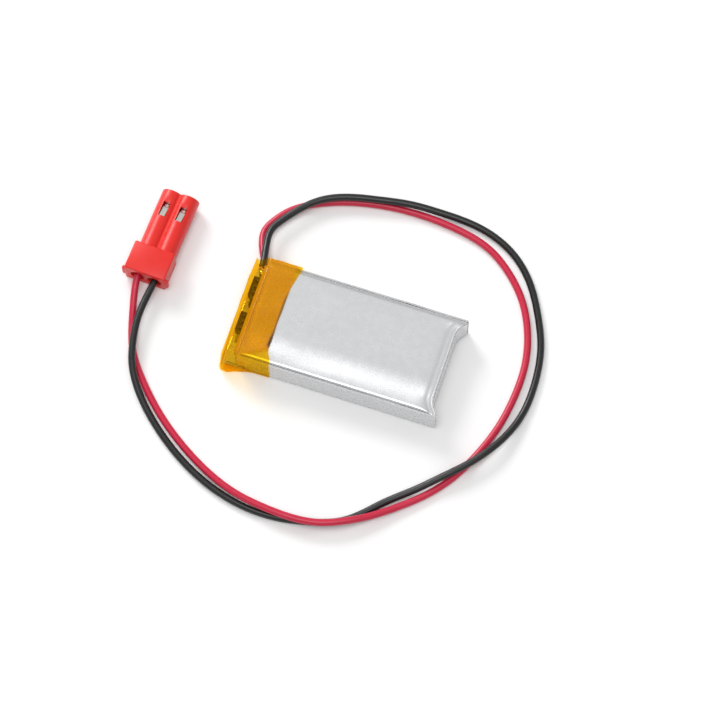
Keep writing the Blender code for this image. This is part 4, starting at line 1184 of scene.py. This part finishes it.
@dataclass
class Studio:
    """The floor, the lights and the camera."""

    elevation: float = math.radians(69)
    heading: float = math.radians(18.3)
    distance: float = 450 * MM
    target: Point = (2.658 * MM, -1.145 * MM, 0.0)
    lens: float = 163.125
    floor_size: float = 4.0
    horizon_glow: float = 0.34
    zenith_glow: float = 0.72

    def camera(self) -> None:
        """Sets the camera up at its angle."""
        data = bpy.data.cameras.new("camera")
        data.lens = self.lens
        data.sensor_width = 36.0
        data.clip_start = 0.01
        data.clip_end = 20.0
        camera = bpy.data.objects.new("camera", data)
        bpy.context.scene.collection.objects.link(camera)
        away = Vector((-math.sin(self.heading), math.cos(self.heading), 0.0))
        look = away * math.cos(self.elevation) - Vector((0.0, 0.0, math.sin(self.elevation)))
        camera.location = Vector(self.target) - look * self.distance
        camera.rotation_euler = look.to_track_quat("-Z", "Y").to_euler()
        bpy.context.scene.camera = camera

    def floor(self) -> None:
        """Lays the sweep that the pack lies on."""
        Bench.clear()
        bpy.ops.mesh.primitive_plane_add(size=self.floor_size)
        item = Bench.name("sweep")
        item.data.materials.append(SWEEP.make())

    def light(self, title: str, place: Point, size: float, watts: float) -> None:
        """Adds a square soft light that shines at the pack."""
        data = bpy.data.lights.new(title, "AREA")
        data.shape = "SQUARE"
        data.size = size
        data.energy = watts
        lamp = bpy.data.objects.new(title, data)
        bpy.context.scene.collection.objects.link(lamp)
        lamp.location = place
        lamp.rotation_euler = (-Vector(place)).to_track_quat("-Z", "Y").to_euler()

    def build(self) -> None:
        """Sets up the whole studio."""
        world = bpy.data.worlds.new("studio air")
        bpy.context.scene.world = world
        world.use_nodes = True
        background = world.node_tree.nodes["Background"]
        background.inputs["Color"].default_value = (1.0, 1.0, 1.0, 1.0)
        direction = add_node(world.node_tree, "ShaderNodeTexCoord").outputs["Generated"]
        height = add_node(world.node_tree, "ShaderNodeSeparateXYZ", {"Vector": direction})
        glow = add_node(
            world.node_tree,
            "ShaderNodeMapRange",
            {
                "Value": height.outputs["Z"],
                "From Max": 0.7,
                "To Min": self.horizon_glow,
                "To Max": self.zenith_glow,
            },
        )
        world.node_tree.links.new(glow.outputs["Result"], background.inputs["Strength"])
        bpy.context.scene.view_settings.view_transform = "Standard"
        self.floor()
        self.light("softbox far left", (-0.62, 0.5, 0.52), 0.4, 5.6)
        self.light("softbox overhead", (0.02, -0.17, 0.8), 0.46, 2.3)


def dress_cad_nodes() -> None:
    """Gives every CAD node that still shows its own finish."""
    for finish, *nodes in CAD_FINISHES:
        for node in nodes:
            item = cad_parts[node]
            item.data.materials.clear()
            item.data.materials.append(finish.make())


def main() -> None:
    """Builds the whole scene."""
    logging.basicConfig(level=logging.INFO, format="%(message)s", stream=sys.stdout)
    studio = Studio()
    studio.camera()
    plug = Plug()
    plug.housing()
    on_leads = ["plug_housing", "positive_contact", "negative_contact"]
    on_leads += ["red_strands_plug_end", "black_strands_plug_end"]
    Lead("red", RED_ROUTE, 1.45 * MM, -1, 0.151, RED_INSULATION).build(plug, on_leads)
    Lead("black", BLACK_ROUTE, 2.8 * MM, 1, 0.154, BLACK_INSULATION).build(plug, on_leads)
    pouch = Pouch()
    pouch.drawn_half()
    pouch.flat_half()
    TapeWrap().build()
    dress_cad_nodes()
    studio.build()


if __name__ == "__main__":
    main()
